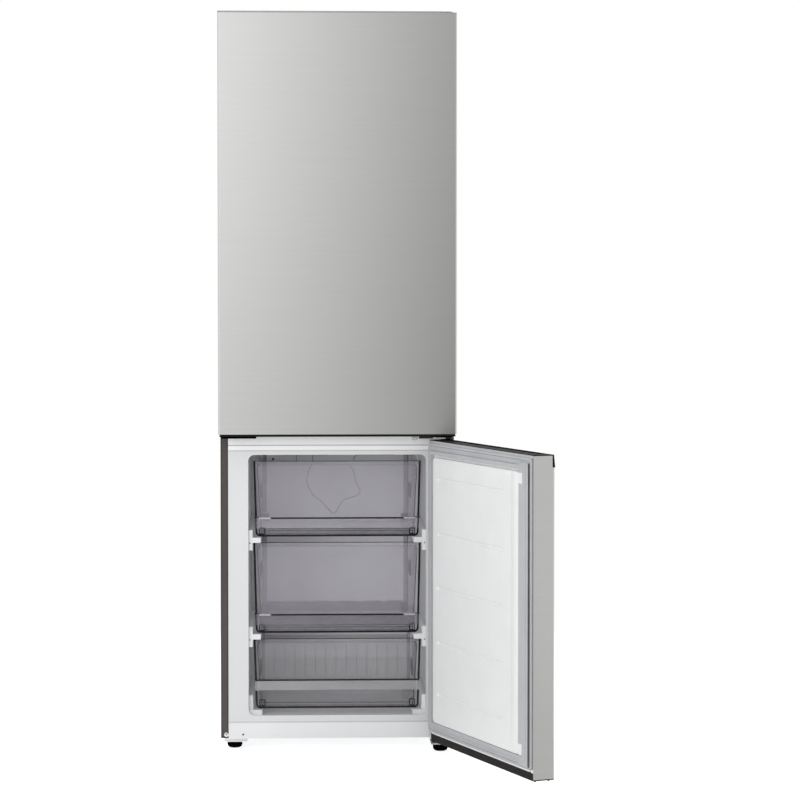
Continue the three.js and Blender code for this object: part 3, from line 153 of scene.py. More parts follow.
class Form:
    """Closed shapes in one mesh. A profile drawn for an axis holds the other two, in order."""

    def __init__(self):
        self.bm = bmesh.new()

    def loop(self, points, axis, along):
        return [self.bm.verts.new(PLACES[axis](p, along)) for p in points]

    def band(self, first, second):
        for i, vert in enumerate(first):
            j = (i + 1) % len(first)
            self.bm.faces.new((vert, first[j], second[j], second[i]))

    def prism(self, points, axis, start, end):
        first, last = self.loop(points, axis, start), self.loop(points, axis, end)
        self.bm.faces.new(first)
        self.bm.faces.new(last)
        self.band(first, last)
        return self

    def block(self, x0, x1, y0, y1, z0, z1):
        return self.prism(rectangle(x0, x1, y0, y1), "z", z0, z1)

    def bar(self, half, *rest):
        """A block from side to side across the centre plane."""
        return self.block(-half, half, *rest)

    def pair(self, near, far, *rest):
        """A block on each side of the centre plane."""
        for side in SIDES:
            self.block(*sorted((side * near, side * far)), *rest)
        return self

    def ring(self, outer, inner, axis, start, end):
        loops = [self.loop(p, axis, t) for t in (start, end) for p in (outer, inner)]
        for a, b in ((0, 1), (2, 3), (0, 2), (1, 3)):
            self.band(loops[a], loops[b])
        return self

    def lathe(self, profile, centre, axis="z", steps=24):
        """profile holds (radius, height along the axis) from one end to the other."""
        u, v, w = {"y": (0, 2, 1), "z": (0, 1, 2)}[axis]
        rings = []
        for radius, height in profile:
            ring = []
            for i in range(steps if radius else 1):
                angle = 2 * math.pi * i / steps
                place = list(centre)
                place[u] += radius * math.cos(angle)
                place[v] += radius * math.sin(angle)
                place[w] += height
                ring.append(self.bm.verts.new(at(*place)))
            rings.append(ring)
        for first, second in zip(rings, rings[1:]):
            if len(first) == len(second):
                self.band(first, second)
                continue
            tip, ring = (first, second) if len(first) == 1 else (second, first)
            for i, vert in enumerate(ring):
                self.bm.faces.new((vert, ring[(i + 1) % steps], tip[0]))
        return self

    def tube(self, path, radius, sides=6, closed=False):
        points = [at(*p) for p in path]
        count = len(points)
        loops = []
        normal = None
        for i, point in enumerate(points):
            before = points[i - 1] if i or closed else point
            after = points[(i + 1) % count] if i + 1 < count or closed else point
            tangent = (after - before).normalized()
            if normal is None:
                normal = tangent.orthogonal()
            normal = (normal - tangent * normal.dot(tangent)).normalized()
            side = tangent.cross(normal)
            loops.append([
                self.bm.verts.new(
                    point + radius * MM * (math.cos(a) * normal + math.sin(a) * side)
                )
                for a in (2 * math.pi * k / sides for k in range(sides))
            ])
        for first, second in zip(loops, loops[1:]):
            self.band(first, second)
        if closed:
            self.band(loops[-1], loops[0])
        else:
            self.bm.faces.new(loops[0])
            self.bm.faces.new(loops[-1])
        return self

    def done(self, name, look, body, bevel=0.0, sharp=SHARP_ANGLE):
        """Makes the piece. The freezer door's are drawn closed and turned open."""
        bmesh.ops.recalc_face_normals(self.bm, faces=self.bm.faces)
        if body == "freezer_door":
            self.bm.transform(DOOR_TURN)
        for face in self.bm.faces:
            face.smooth = True
        mesh = bpy.data.meshes.new(name)
        self.bm.to_mesh(mesh)
        self.bm.free()
        mesh.set_sharp_from_angle(angle=math.radians(sharp))
        piece = bpy.data.objects.new(name, mesh)
        bpy.context.scene.collection.objects.link(piece)
        mesh.materials.append(look)
        if bevel:
            soften = piece.modifiers.new("edges", "BEVEL")
            soften.width = bevel * MM
            soften.segments = 2
            soften.limit_method = "ANGLE"
            soften.angle_limit = math.radians(BEVEL_ANGLE)
        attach(piece, body)
        return piece


# ---- nodes


def node(tree, kind, inputs=(), output=0, **settings):
    """Adds a node, with values or other nodes' outputs for inputs, and gives its output."""
    new = tree.nodes.new(kind)
    for name, value in settings.items():
        setattr(new, name, value)
    for place, value in dict(inputs).items():
        if isinstance(value, bpy.types.NodeSocket):
            tree.links.new(value, new.inputs[place])
        else:
            new.inputs[place].default_value = value
    return new.outputs[output] if new.outputs else None


def remap(tree, value, low, high, first=0.0, last=1.0, **settings):
    """Goes from low to high while the value goes from first to last."""
    ends = {"From Min": first, "From Max": last, "To Min": low, "To Max": high}
    return node(tree, "ShaderNodeMapRange", {"Value": value, **ends}, **settings)


def smoothing():
    """Node group that joins a solid's triangles and shades only its edges as edges."""
    group = bpy.data.node_groups.new("rounded_shading", "GeometryNodeTree")
    for in_out in ("INPUT", "OUTPUT"):
        group.interface.new_socket("Geometry", in_out=in_out, socket_type="NodeSocketGeometry")
    shape = node(group, "NodeGroupInput")
    angle = node(group, "GeometryNodeInputMeshEdgeAngle", output="Unsigned Angle")
    limit = math.radians(SOLID_SHARP_ANGLE)
    steep = node(group, "FunctionNodeCompare", {"A": angle, "B": limit}, operation="GREATER_THAN")
    edges = {"Selection": steep, "Shade Smooth": False}
    for kind, inputs, settings in (
        ("GeometryNodeMergeByDistance", {"Distance": WELD * MM}, {}),
        ("GeometryNodeRemoveAttribute", {"Name": "custom_normal"}, {}),
        ("GeometryNodeSetShadeSmooth", {}, {}),
        ("GeometryNodeSetShadeSmooth", edges, {"domain": "EDGE"}),
    ):
        shape = node(group, kind, {"Geometry": shape, **inputs}, **settings)
    node(group, "NodeGroupOutput", {0: shape})
    return group


# ---- materials

FINE_BRUSH = (20, 20, 1700)
BROAD_BRUSH = (4, 4, 420)
# where the liner's painted shade of the cavity begins and where it is full
CAVITY_MOUTH = (0.006, 0.03)  # metres behind the cabinet's front edge, where its white turns grey
MIX_INPUTS, MIX_OUTPUT = (0, 6, 7), 2  # share and two colours, and the mixed colour


def linear(color):
    """sRGB from 0 to 255 to the linear colour that shaders take."""
    parts = [c / 255 for c in color]
    curve = [c / 12.92 if c <= 0.04045 else ((c + 0.055) / 1.055) ** 2.4 for c in parts]
    return (*curve, 1.0)


class Look:
    """A Principled material. Noise in the row frame sets its colour, gloss and relief."""

    def __init__(self, name, slot, roughness, metallic=0.0, **sockets):
        self.material = bpy.data.materials.new(name)
        self.material.use_nodes = True
        self.material["slot"] = slot
        self.tree = self.material.node_tree
        self.sockets = self.tree.nodes["Principled BSDF"].inputs
        sockets |= {"Roughness": roughness, "Metallic": metallic}
        for socket, value in sockets.items():
            self.sockets[socket.replace("_", " ")].default_value = value
        self.place = self.add("TexCoord", output="Object")

    def add(self, kind, *inputs, **settings):
        return node(self.tree, f"ShaderNode{kind}", *inputs, **settings)

    def join(self, socket, value):
        self.tree.links.new(value, self.sockets[socket])
        return self

    def noise(self, scale, stretch=(1, 1, 1), spin=0.0, detail=3.0):
        place = self.place
        if spin:
            place = self.add("Mapping", {"Vector": place, "Rotation": (0, 0, spin)})
        place = self.add("Mapping", {"Vector": place, "Scale": stretch})
        return self.add("TexNoise", {"Vector": place, "Scale": scale, "Detail": detail}, "Fac")

    def spangle(self, scale):
        cells = self.add("TexVoronoi", {"Vector": self.place, "Scale": scale}, "Color")
        return self.add("RGBToBW", {0: cells})

    def range(self, value, low, high, first=0.3, last=0.7):
        return remap(self.tree, value, low, high, first, last)

    def mix(self, share, *colors):
        inputs = dict(zip(MIX_INPUTS, (share, *colors)))
        return self.join("Base Color", self.add("Mix", inputs, MIX_OUTPUT, data_type="RGBA"))

    def color(self, value, dark, light, *ends):
        return self.mix(self.range(value, 0, 1, *ends), linear(dark), linear(light))

    def by_depth(self, front, *ends):
        """Base colour goes over from another one between two depths in the row frame, as painted shade deeper in a
        cavity.
        """
        base = self.sockets["Base Color"].links[0].from_socket
        depth = self.add("SeparateXYZ", {0: self.place}, "Y")
        return self.mix(self.range(depth, 0, 1, *ends), linear(front), base)

    def gloss(self, value, low, high):
        return self.join("Roughness", self.range(value, low, high))

    def relief(self, value, depth, strength):
        inputs = {"Height": value, "Distance": depth * MM, "Strength": strength}
        return self.join("Normal", self.add("Bump", inputs))

    def sheer(self, facing, edge):
        """Clearer where it is seen straight on, as a moulded wall is."""
        weight = self.add("LayerWeight", {"Blend": 0.5}, "Facing")
        return self.join("Alpha", self.range(weight, facing, edge, 0.35, 1.0))


def brushed_steel(name, spin=0.0):
    look = Look(name, "steel", 0.34, 1.0, Anisotropic=0.45, Anisotropic_Rotation=0.25)
    fine, broad = (look.noise(1.0, brush, spin, 2) for brush in (FINE_BRUSH, BROAD_BRUSH))
    halves = [look.range(brush, 0, 0.5, 0, 1) for brush in (fine, broad)]
    streak = look.add("Math", dict(enumerate(halves)), operation="ADD")
    look.color(streak, (205, 205, 203), (210, 210, 208))
    look.gloss(streak, 0.335, 0.35)
    return look.relief(fine, 0.004, 0.25).material


def painted(name, slot, dark, light, roughness=(0.42, 0.5), peel=0.03):
    look = Look(name, slot, roughness[0])
    skin = look.noise(700, detail=2)
    look.color(look.noise(9, detail=4), dark, light)
    look.gloss(skin, *roughness)
    return look.relief(skin, peel, 0.4).material


def plastic(name, slot, dark, light, roughness=(0.38, 0.46), grain=0.05, scale=1300, **sockets):
    look = Look(name, slot, roughness[0], **sockets)
    skin = look.noise(scale)
    look.color(look.noise(14), dark, light)
    look.gloss(look.noise(60), *roughness)
    return look.relief(skin, grain, 0.5)


def moulded(*settings, **sockets):
    return plastic(*settings, **sockets).material


def shaded_cavity_white(name, front, dark, light):
    """White plastic with painted shade: greyer past the mouth of the cavity."""
    look = plastic(name, "white_plastic", dark, light, (0.4, 0.48), 0.03)
    mouth = CABINET.y0 * MM + ORIGIN.y
    return look.by_depth(front, *(mouth + depth for depth in CAVITY_MOUTH)).material


def zinc(name, slot, dark, light, roughness=(0.4, 0.55)):
    look = Look(name, slot, roughness[0], 0.85)
    cells = look.spangle(190)
    look.color(cells, dark, light, 0, 1)
    look.gloss(cells, *roughness)
    return look.relief(look.noise(420), 0.03, 0.4).material


def sheer_plastic(name, slot, dark, light, facing, edge, roughness=(0.1, 0.16), shine=0.5):
    look = Look(name, slot, roughness[0], IOR=1.5, Specular_IOR_Level=shine)
    look.color(look.noise(16), dark, light)
    look.gloss(look.noise(90), *roughness)
    look.relief(look.noise(35, detail=2), 0.06, 0.4)
    return look.sheer(facing, edge).material


def smoked(kind, *settings, **sockets):
    return sheer_plastic(f"smoked_{kind}", "smoked_clear", *settings, **sockets)


def insulation(name):
    look = Look(name, "foam", 0.85)
    cells = look.noise(260, detail=4)
    look.color(cells, (214, 196, 142), (236, 221, 170))
    look.gloss(cells, 0.8, 0.95)
    return look.relief(cells, 0.6, 0.8).material


STEEL = brushed_steel("brushed_steel")
TURNED_STEEL = brushed_steel("brushed_steel_open_door", -DOOR_ANGLE)
WRAP = painted("taupe_paint", "wrap", (66, 58, 55), (71, 63, 60))
# darker copy of the taupe paint: painted shade along the flange's folded edges
HEM_SHADE = painted("taupe_hem_painted_shade", "wrap", (46, 41, 39), (52, 46, 44))
SEAM = painted("seam_shadow", "wrap", (52, 49, 48), (58, 55, 54), (0.6, 0.7))
WHITE_STEEL = painted(
    "white_paint", "white_steel", (226, 227, 228), (231, 232, 233), (0.3, 0.36), 0.02,
)
# lighter copy of the white paint on the mullion: painted light under the upper door's shade
MULLION_LIT_WHITE = painted(
    "mullion_white_painted_light", "white_steel", (243, 244, 245), (246, 247, 248), (0.3, 0.36), 0.02,
)
SOFT_LINE = painted("soft_seam", "white_steel", (190, 190, 191), (197, 197, 198), (0.5, 0.6))
PALE_LINE = painted("pale_seam", "white_plastic", (150, 152, 155), (160, 162, 165), (0.5, 0.6))
HINGE_BLACK = painted("hinge_black", "hinge_black", (14, 13, 14), (20, 19, 19), (0.45, 0.55))
COMPRESSOR_BLACK = painted(
    "compressor_enamel", "compressor_black", (26, 26, 28), (33, 33, 35), (0.25, 0.33),
)
TUBE_STEEL = painted("black_tube", "tube_steel", (58, 58, 58), (66, 66, 66), (0.35, 0.45))
ZINC = zinc("galvanised", "galvanised", (150, 152, 154), (188, 190, 192))
BRIGHT = zinc("bright_plate", "galvanised", (205, 206, 208), (224, 225, 227), (0.28, 0.4))
ALUMINIUM = zinc("aluminium", "aluminium", (186, 189, 193), (203, 206, 210), (0.3, 0.42))
WHITE = moulded(
    "white_plastic", "white_plastic", (224, 225, 226), (229, 230, 231), (0.36, 0.44), 0.03,
)
# greyer white for the freezer's liner, back wall and baffle, with painted shade deepening into the cavity
LINER_SHADED_WHITE = shaded_cavity_white("liner_white_painted_shade", (215, 216, 217), (210, 210, 213), (215, 215, 218))
PANEL_WHITE = moulded(
    "panel_white", "white_plastic", (232, 233, 233), (235, 236, 236), (0.4, 0.48), 0.02,
)
LIGHT_GREY = moulded(
    "light_grey_plastic", "white_plastic", (196, 197, 200), (204, 205, 208), (0.35, 0.45), 0.04,
)
GREY = moulded("grey_plastic", "grey_plastic", (148, 148, 146), (156, 156, 154), (0.4, 0.5), 0.05)
BLACK = moulded(
    "black_plastic", "black_plastic", (28, 24, 23), (34, 30, 28), (0.5, 0.6), 0.08, 900,
    Specular_IOR_Level=0.06,
)
FOOT_BLACK = moulded(
    "foot_black", "black_plastic", (4, 4, 5), (8, 8, 9), (0.6, 0.7), 0.05, 900,
    Specular_IOR_Level=0.0,
)
RUBBER = moulded("door_gasket", "gasket", (178, 179, 182), (185, 186, 189), (0.55, 0.65), 0.03)
# darker copy of the gasket rubber: painted shade in the bellows folds
FOLD_SHADE_RUBBER = moulded("gasket_fold", "gasket", (138, 139, 144), (148, 149, 154), (0.55, 0.65), 0.06)
# dark rubber strips in the gasket's grooves: painted shade
GROOVE = moulded("gasket_groove", "gasket", (84, 82, 84), (94, 92, 94), (0.6, 0.7), 0.03)
LAMP = moulded("lamp_diffuser", "lamp", (242, 242, 238), (247, 247, 243), (0.45, 0.55), 0.03)
SMOKE = smoked("plastic", (178, 175, 184), (186, 183, 191), 0.13, 0.5)
# darker copy of the drawer plastic for the lowest drawer: painted shade
SMOKE_SHADED_LOW = smoked("plastic_low_painted_shade", (134, 133, 137), (142, 141, 145), 0.13, 0.5)
SMOKE_LINE = smoked("edge", (22, 20, 24), (30, 28, 32), 0.95, 1.0, shine=0.15)
SMOKE_SHADE = smoked("shade", (76, 72, 79), (86, 82, 89), 0.45, 0.85)
SMOKE_VEIL = smoked("veil", (70, 66, 73), (80, 76, 83), 0.14, 0.3)
SMOKE_CORNER = smoked("corner", (84, 80, 87), (94, 90, 97), 0.2, 0.5)
SMOKE_FAINT = smoked("faint", (84, 82, 86), (92, 90, 94), 0.09, 0.13)
SMOKE_MIST = smoked("mist", (198, 197, 200), (206, 205, 208), 0.3, 0.4)
SMOKE_HAZE = smoked("haze", (76, 72, 79), (84, 80, 87), 0.1, 0.2)
SMOKE_PALE = smoked("pale", (188, 186, 194), (198, 196, 203), 0.8, 0.95)
CLEAR = sheer_plastic(
    "clear_plastic", "clear_plastic", (226, 231, 233), (233, 237, 239), 0.24, 0.6,
)
GLASS = sheer_plastic(
    "shelf_glass", "glass", (222, 232, 229), (229, 238, 235), 0.14, 0.5, (0.03, 0.06),
)
FOAM = insulation("insulation_foam")

SLOT_LOOKS = {look["slot"]: look for look in (
    STEEL, WRAP, ZINC, HINGE_BLACK, COMPRESSOR_BLACK, WHITE, WHITE_STEEL, RUBBER, BLACK, GREY, FOAM,
    SMOKE, CLEAR, GLASS, LAMP, ALUMINIUM, TUBE_STEEL,
)}
NODE_LOOKS = {
    "freezer_door_skin": TURNED_STEEL,
    "freezer_drawer_bottom": SMOKE_SHADED_LOW,
    "freezer_liner": LINER_SHADED_WHITE,
    "mullion": MULLION_LIT_WHITE,
    "evaporator_cover": LINER_SHADED_WHITE,
    "front_foot_left": FOOT_BLACK,
    "front_foot_right": FOOT_BLACK,
}


def dress_solids():
    shading = smoothing()
    slots = {row["node"]: row["material_slot"] for row in frame["record"]["subparts"]}
    for name, solid in frame["nodes"].items():
        solid.data.materials[0] = NODE_LOOKS.get(name) or SLOT_LOOKS[slots[name]]
        solid.modifiers.new("shading", "NODES").node_group = shading


# ---- stage
# In metres, in the row frame.

AMBIENT = 0.74
FLOOR_COLOR = (0.8, 0.8, 0.8, 1)
FLOOR_LIFT = 0.7
FLOOR_RADIUS = 9.0
FLOOR_NEAR = 0.9  # from here to FLOOR_FAR the floor fades into the white background
FLOOR_FAR = 2.4
FLOOR_GAP = 0.001
LIGHTS = (  # name, place, aim, size, power in watts
    ("key", (-1.7, -2.8, 1.25), (-0.1, 0, 0.95), (1.6, 1.8), 36),
    ("fill", (2.2, -2.6, 1.1), (0.1, 0, 0.8), (1.6, 1.8), 16),
    ("back_left", (-1.9, 2.6, 2.2), (-0.1, 0.3, 0.9), (1.8, 1.8), 30),
    ("back_right", (2.0, 2.4, 1.8), (0.0, 0.3, 0.9), (1.8, 1.8), 22),
)
GLOW_CARD = SimpleNamespace(y=-1.9, x0=-1.5, x1=1.15, z0=-0.4, z1=3.1)
GLOW_MIDDLE = 0.84
GLOW_LEFT_RISE = 0.643  # lost per metre to the right
GLOW_LEVELS = (-0.1, 1.9)
GLOW_LOW = 0.49  # share of it that is left at the lower level
SIDE_CARD_END = 3.2
SIDE_GLOW = 0.78
LOW_CARD = SimpleNamespace(x0=0.28, x1=1.6, y0=-1.85, y1=-0.3, z=0.003)
LOW_GLOW = 0.64


def area_light(name, place, aim, size, power):
    light = bpy.data.lights.new(name, "AREA")
    light.shape = "RECTANGLE"
    light.size, light.size_y = size
    light.energy = power
    lamp = bpy.data.objects.new(name, light)
    lamp.location = place
    lamp.rotation_mode = "QUATERNION"
    lamp.rotation_quaternion = (Vector(aim) - Vector(place)).to_track_quat("-Z", "Y")
    lamp.visible_camera = False
    lamp.visible_glossy = False
    bpy.context.scene.collection.objects.link(lamp)


def shown_rays(tree):
    """1 on rays that show the background: from the camera, from a gloss or through glass."""
    path = tree.nodes.new("ShaderNodeLightPath").outputs
    shown = path["Is Camera Ray"]
    for ray in ("Is Glossy Ray", "Is Transmission Ray"):
        shown = node(tree, "ShaderNodeMath", {0: shown, 1: path[ray]}, operation="MAXIMUM")
    return shown


def white_world():
    world = bpy.data.worlds.new("studio")
    world.use_nodes = True
    bpy.context.scene.world = world
    tree = world.node_tree
    background = tree.nodes["Background"].inputs
    background["Color"].default_value = (1, 1, 1, 1)
    tree.links.new(remap(tree, shown_rays(tree), AMBIENT, 1.0), background["Strength"])


def staged(name, bm, surface):
    """An object of the studio. surface adds its shader to a node tree."""
    mesh = bpy.data.meshes.new(name)
    bm.to_mesh(mesh)
    bm.free()
    material = bpy.data.materials.new(name)
    material.use_nodes = True
    tree = material.node_tree
    tree.nodes.clear()
    node(tree, "ShaderNodeOutputMaterial", {"Surface": surface(tree)})
    mesh.materials.append(material)
    thing = bpy.data.objects.new(name, mesh)
    bpy.context.scene.collection.objects.link(thing)
    return thing


def pale_paper(tree):
    """Paper that keeps the object's shadow near it and is plain white farther out."""
    shown = shown_rays(tree)
    paper = node(tree, "ShaderNodeBsdfDiffuse", {"Color": FLOOR_COLOR})
    lift = node(tree, "ShaderNodeMath", {0: shown, 1: FLOOR_LIFT}, operation="MULTIPLY")
    lifted = node(tree, "ShaderNodeEmission", {"Strength": lift})
    near = node(tree, "ShaderNodeAddShader", {0: paper, 1: lifted})
    white = node(tree, "ShaderNodeEmission")
    far = node(tree, "ShaderNodeMixShader", {0: shown, 1: paper, 2: white})
    place = node(tree, "ShaderNodeTexCoord", output="Object")
    reach = node(tree, "ShaderNodeVectorMath", {0: place}, "Value", operation="LENGTH")
    fade = remap(tree, reach, 0, 1, FLOOR_NEAR, FLOOR_FAR, interpolation_type="SMOOTHSTEP")
    return node(tree, "ShaderNodeMixShader", {0: fade, 1: near, 2: far})


def floor():
    bm = bmesh.new()
    bmesh.ops.create_circle(bm, cap_ends=True, segments=96, radius=FLOOR_RADIUS)
    staged("studio_floor", bm, pale_paper).location = (0, 0, -FLOOR_GAP)


def fading(tree):
    """Brighter to the left and the top, as the steel in the photograph is."""
    place = node(tree, "ShaderNodeTexCoord", output="Object")
    x, _, z = node(tree, "ShaderNodeSeparateXYZ", {0: place}).node.outputs
    inputs = {0: x, 1: -GLOW_LEFT_RISE, 2: GLOW_MIDDLE}
    across = node(tree, "ShaderNodeMath", inputs, operation="MULTIPLY_ADD")
    up = remap(tree, z, GLOW_LOW, 1.0, *GLOW_LEVELS, interpolation_type="SMOOTHSTEP")
    return node(tree, "ShaderNodeMath", {0: across, 1: up}, operation="MULTIPLY")


def sheet(name, corners, strength):
    """A sheet that only gloss sees, as a photographer's card is seen in steel."""

    def glow(tree):
        level = strength(tree) if callable(strength) else strength
        return node(tree, "ShaderNodeEmission", {"Strength": level})

    bm = bmesh.new()
    bm.faces.new([bm.verts.new(corner) for corner in corners])
    paper = staged(name, bm, glow)
    for ray in ("camera", "diffuse", "transmission", "shadow", "volume_scatter"):
        setattr(paper, f"visible_{ray}", False)


def cards():
    """Cards before the doors, and a low one that keeps floor glare off the open door."""
    wall, low = GLOW_CARD, LOW_CARD
    for name, x0, x1, strength in (
        ("glow_card", wall.x0, wall.x1, fading),
        ("side_card", wall.x1, SIDE_CARD_END, SIDE_GLOW),
    ):
        outline = rectangle(x0, x1, wall.z0, wall.z1)
        sheet(name, [(x, wall.y, z) for x, z in outline], strength)
    outline = rectangle(low.x0, low.x1, low.y0, low.y1)
    sheet("low_card", [(x, y, low.z) for x, y in outline], LOW_GLOW)


CAMERA_PLACE = (-89.96, -6745.6, 1232.75)
LENS = 122.018
CAMERA_YAW = 2.084  # to the right
CAMERA_PITCH = 2.0  # down
CAMERA_SHIFT = -0.0564  # keeps the photograph's verticals close to parallel


def camera():
    data = bpy.data.cameras.new("camera")
    data.lens = LENS
    data.shift_y = CAMERA_SHIFT
    data.clip_start, data.clip_end = 0.1, 100
    view = bpy.data.objects.new("camera", data)
    pose = Matrix.Translation(at(*CAMERA_PLACE))
    for degrees, axis in ((-CAMERA_YAW, "Z"), (90 - CAMERA_PITCH, "X")):
        pose = pose @ Matrix.Rotation(math.radians(degrees), 4, axis)
    view.matrix_world = pose
    bpy.context.scene.collection.objects.link(view)
    bpy.context.scene.camera = view


def stage():
    white_world()
    floor()
    cards()
    for light in LIGHTS:
        area_light(*light)
    bpy.context.scene.view_settings.view_transform = "Standard"


# ---- freezer drawers

FACE = SimpleNamespace(
    flare=5.5, corner=12,
    edge=5.0, top_edge=1.6,  # widths of the dark line round the plate
    lines=((13.5, 15.2), (7.6, 8.6)),  # over the drawer's foot
    foot=SimpleNamespace(rise=4.4, height=19, near=21, far=5, wall=2.6),
)
PULL = SimpleNamespace(
    projection=18, height=27.5, line=3.4, face_line=2.4, tab=3.6,
    rise={"top": 22.2, "middle": 22.2, "bottom": 48.2},
    bright={"top": 168, "middle": 168, "bottom": 206},  # half the dark line's length
    tip={"top": 197, "middle": 197, "bottom": 206},  # where the pale ends beside it stop
    under=(1.8, 3.4),  # the line below the pull, under its foot
)
TUB = SimpleNamespace(
    half=203, drop=7, step=27, back=7.6, side=8.4, lean=11.5,
    corner={"top": 12, "middle": 12, "bottom": 8},
    meets={"top": 37, "middle": 43, "bottom": 48},  # how far down it meets the plate
)
HAND_SLOT = SimpleNamespace(below=85, height=33, reach=45, ahead=80, rim=2.1)
SLIDE = SimpleNamespace(inset=2, width=17, front=16, back=4)
RIB = SimpleNamespace(pitch=27, count=6, half=1.2, foot=44, head=56)
# a dark band of painted shade on the bottom drawer's back wall
BACK_SHADE_BAND = (39, 28)  # below the bottom drawer's top
BAND_LOOKS = {"middle": SMOKE_HAZE, "bottom": SMOKE_MIST}


def face_outline(d, side, top, bottom):
    """The front plate's outline, moved inwards by side, top and bottom."""
    half_top = d.x1 - side
    half_low = d.x1 - FACE.flare - side
    z0, z1 = d.z0 + bottom, d.z1 - top
    r = FACE.corner - side
    points = [(half_top, z1), (-half_top, z1)]
    for cx, first in ((-half_low + r, 180), (half_low - r, 270)):
        for i in range(7):
            angle = math.radians(first + 15 * i)
            points.append((cx + r * math.cos(angle), z0 + r + r * math.sin(angle)))
    return points


def drawer_plate(name, d, body):
    """Dark edges that light leaves through, on the front plate and the tub's front behind it."""
    face = d.y0 + PULL.projection
    inside = face_outline(d, FACE.edge, FACE.top_edge, FACE.edge)
    Form().ring(face_outline(d, 0, 0, 0), inside, "y", face - 0.5, face).done(
        f"{body}_outline", SMOKE_LINE, body)
    low, high = d.z0 + 8, d.z1 - TUB.drop - 3
    wide, narrow = TUB.half - 0.6, TUB.half - TUB.lean
    edges = Form()
    for side in SIDES:
        path = [(side * narrow, low), (side * wide, high - 8), (side * (wide - 5), high - 1)]
        edges.prism(strip_path(path, 0.9), "y", face + 3.1, face + 4.2)
    edges.done(f"{body}_tub_edge", SMOKE_LINE, body)
    rim = Form().bar(wide - 5, face + 3.1, face + 3.9, high - 1.2, high)
    rim.done(f"{body}_tub_rim", SMOKE_CORNER, body)
    pane = Form().bar(wide - 2, face + 6, face + 6.6, d.z1 - TUB.meets[name], high - 1)
    pane.done(f"{body}_upper_pane", SMOKE, body)


def drawer_pull(name, d, body):
    """Lines along the pull lip's top and foot, and the lines, shade and feet below it."""
    face = d.y0 + PULL.projection
    z0 = d.z0 + PULL.rise[name]
    z1 = z0 + PULL.height
    bright, tip = PULL.bright[name], PULL.tip[name]
    line = Form().bar(bright, d.y0 - 0.4, d.y0 + 2, z1 - PULL.line, z1 + 0.3)
    line.pair(tip, d.x1 - 2, face - 0.6, face + 0.2, z1 - PULL.face_line, z1 + 0.2)
    line.done(f"{body}_pull_line", SMOKE_LINE, body)
    if tip > bright:
        tabs = Form().pair(bright, tip, d.y0 - 0.3, d.y0 + 3, z1 - PULL.tab, z1 + 0.4)
        tabs.done(f"{body}_pull_ends", SMOKE_PALE, body, bevel=0.6)
    half = d.x1 - FACE.flare - FACE.corner
    lines = Form()
    for low, high in FACE.lines:
        lines.bar(half, face - 0.4, face, d.z0 + low, d.z0 + high)
    lines.bar(half, face - 0.4, face, z0 - PULL.under[1], z0 - PULL.under[0])
    lines.done(f"{body}_lower_lines", SMOKE_SHADE, body)
    if name != "bottom":
        shade = Form().bar(half - 2, face + 3.4, face + 4.4, d.z0 + 5, z0 - 1)
        shade.done(f"{body}_lower_shade", SMOKE_VEIL, body)
    if name in BAND_LOOKS:
        band = Form().bar(d.x1 - 4, d.y0 - 0.3, d.y0 + 0.1, z0 + 0.4, z1 - PULL.tab)
        band.done(f"{body}_pull_face", BAND_LOOKS[name], body)
    foot = FACE.foot
    feet = Form()
    for side in SIDES:
        near, far = sorted((side * (TUB.half - foot.far), side * (TUB.half - foot.near)))
        low = d.z0 + foot.rise
        high = low + foot.height
        inner = rounded(near + foot.wall, far - foot.wall, low + 3, high - 3, 2)
        feet.ring(rounded(near, far, low, high, 4), inner, "y", face - 0.4, face + 0.2)
    feet.done(f"{body}_corner_feet", SMOKE_LINE, body)


def drawer_tub(name, d, body):
    """Rounded corners, slides and hand slot rims of the tub behind the front plate."""
    back = d.y1 - TUB.back
    wall = TUB.half - TUB.side
    radius = TUB.corner[name]
    corners = Form()
    for side in SIDES:
        arc = []
        for k in range(9):
            angle = math.radians(90 * k / 8)
            arc.append((side * (wall - radius + radius * math.cos(angle)),
                        back - radius + radius * math.sin(angle)))
        corners.prism(strip_path(arc, 0.5), "z", d.z0 + 4, d.z1 - TUB.drop - 2)
    corners.done(f"{body}_tub_corners", SMOKE_CORNER, body)
    if name == "middle":
        step = Form().bar(wall - 1, back - 1.2, back - 0.4, d.z0 + 3, d.z0 + TUB.step)
        step.done(f"{body}_floor_step", SMOKE_CORNER, body)
    far = wall - SLIDE.inset
    slides = Form().pair(
        far, far - SLIDE.width, back - SLIDE.front, back - SLIDE.back,
        d.z0 + 3, d.z0 + TUB.step - 5,
    )
    slides.done(f"{body}_slides", SMOKE_SHADE, body, bevel=1.2)
    slot = HAND_SLOT
    centre = d.y1 - 5 - slot.ahead
    top = d.z1 - slot.below
    y0, y1 = centre - slot.reach, centre + slot.reach
    outline = rounded(y0, y1, top - slot.height, top, slot.height / 2.2)
    rims = Form()
    for side in SIDES:
        rims.tube([(side * (TUB.half - 6.4), y, z) for y, z in outline], slot.rim, closed=True)
    rims.done(f"{body}_hand_slot_rims", SMOKE_LINE, body)


def bottom_drawer_back(d):
    """Upright ribs on the back wall of the bottom drawer, and a dark band of painted shade across it."""
    back = d.y1 - 8.4
    ribs = Form()
    for k in range(-RIB.count, RIB.count + 1):
        x = k * RIB.pitch
        ribs.block(x - RIB.half, x + RIB.half, back, back + 0.8, d.z0 + RIB.foot, d.z1 - RIB.head)
    ribs.done("drawer_bottom_back_ribs", SMOKE_FAINT, "drawer_bottom")
    low, high = (d.z1 - below for below in BACK_SHADE_BAND)
    # the band is painted shade falling over the back of the bottom drawer
    band = Form().bar(RIB.pitch * (RIB.count + 1), back, back + 0.8, low, high)
    band.done("drawer_bottom_back_shade", SMOKE_CORNER, "drawer_bottom")


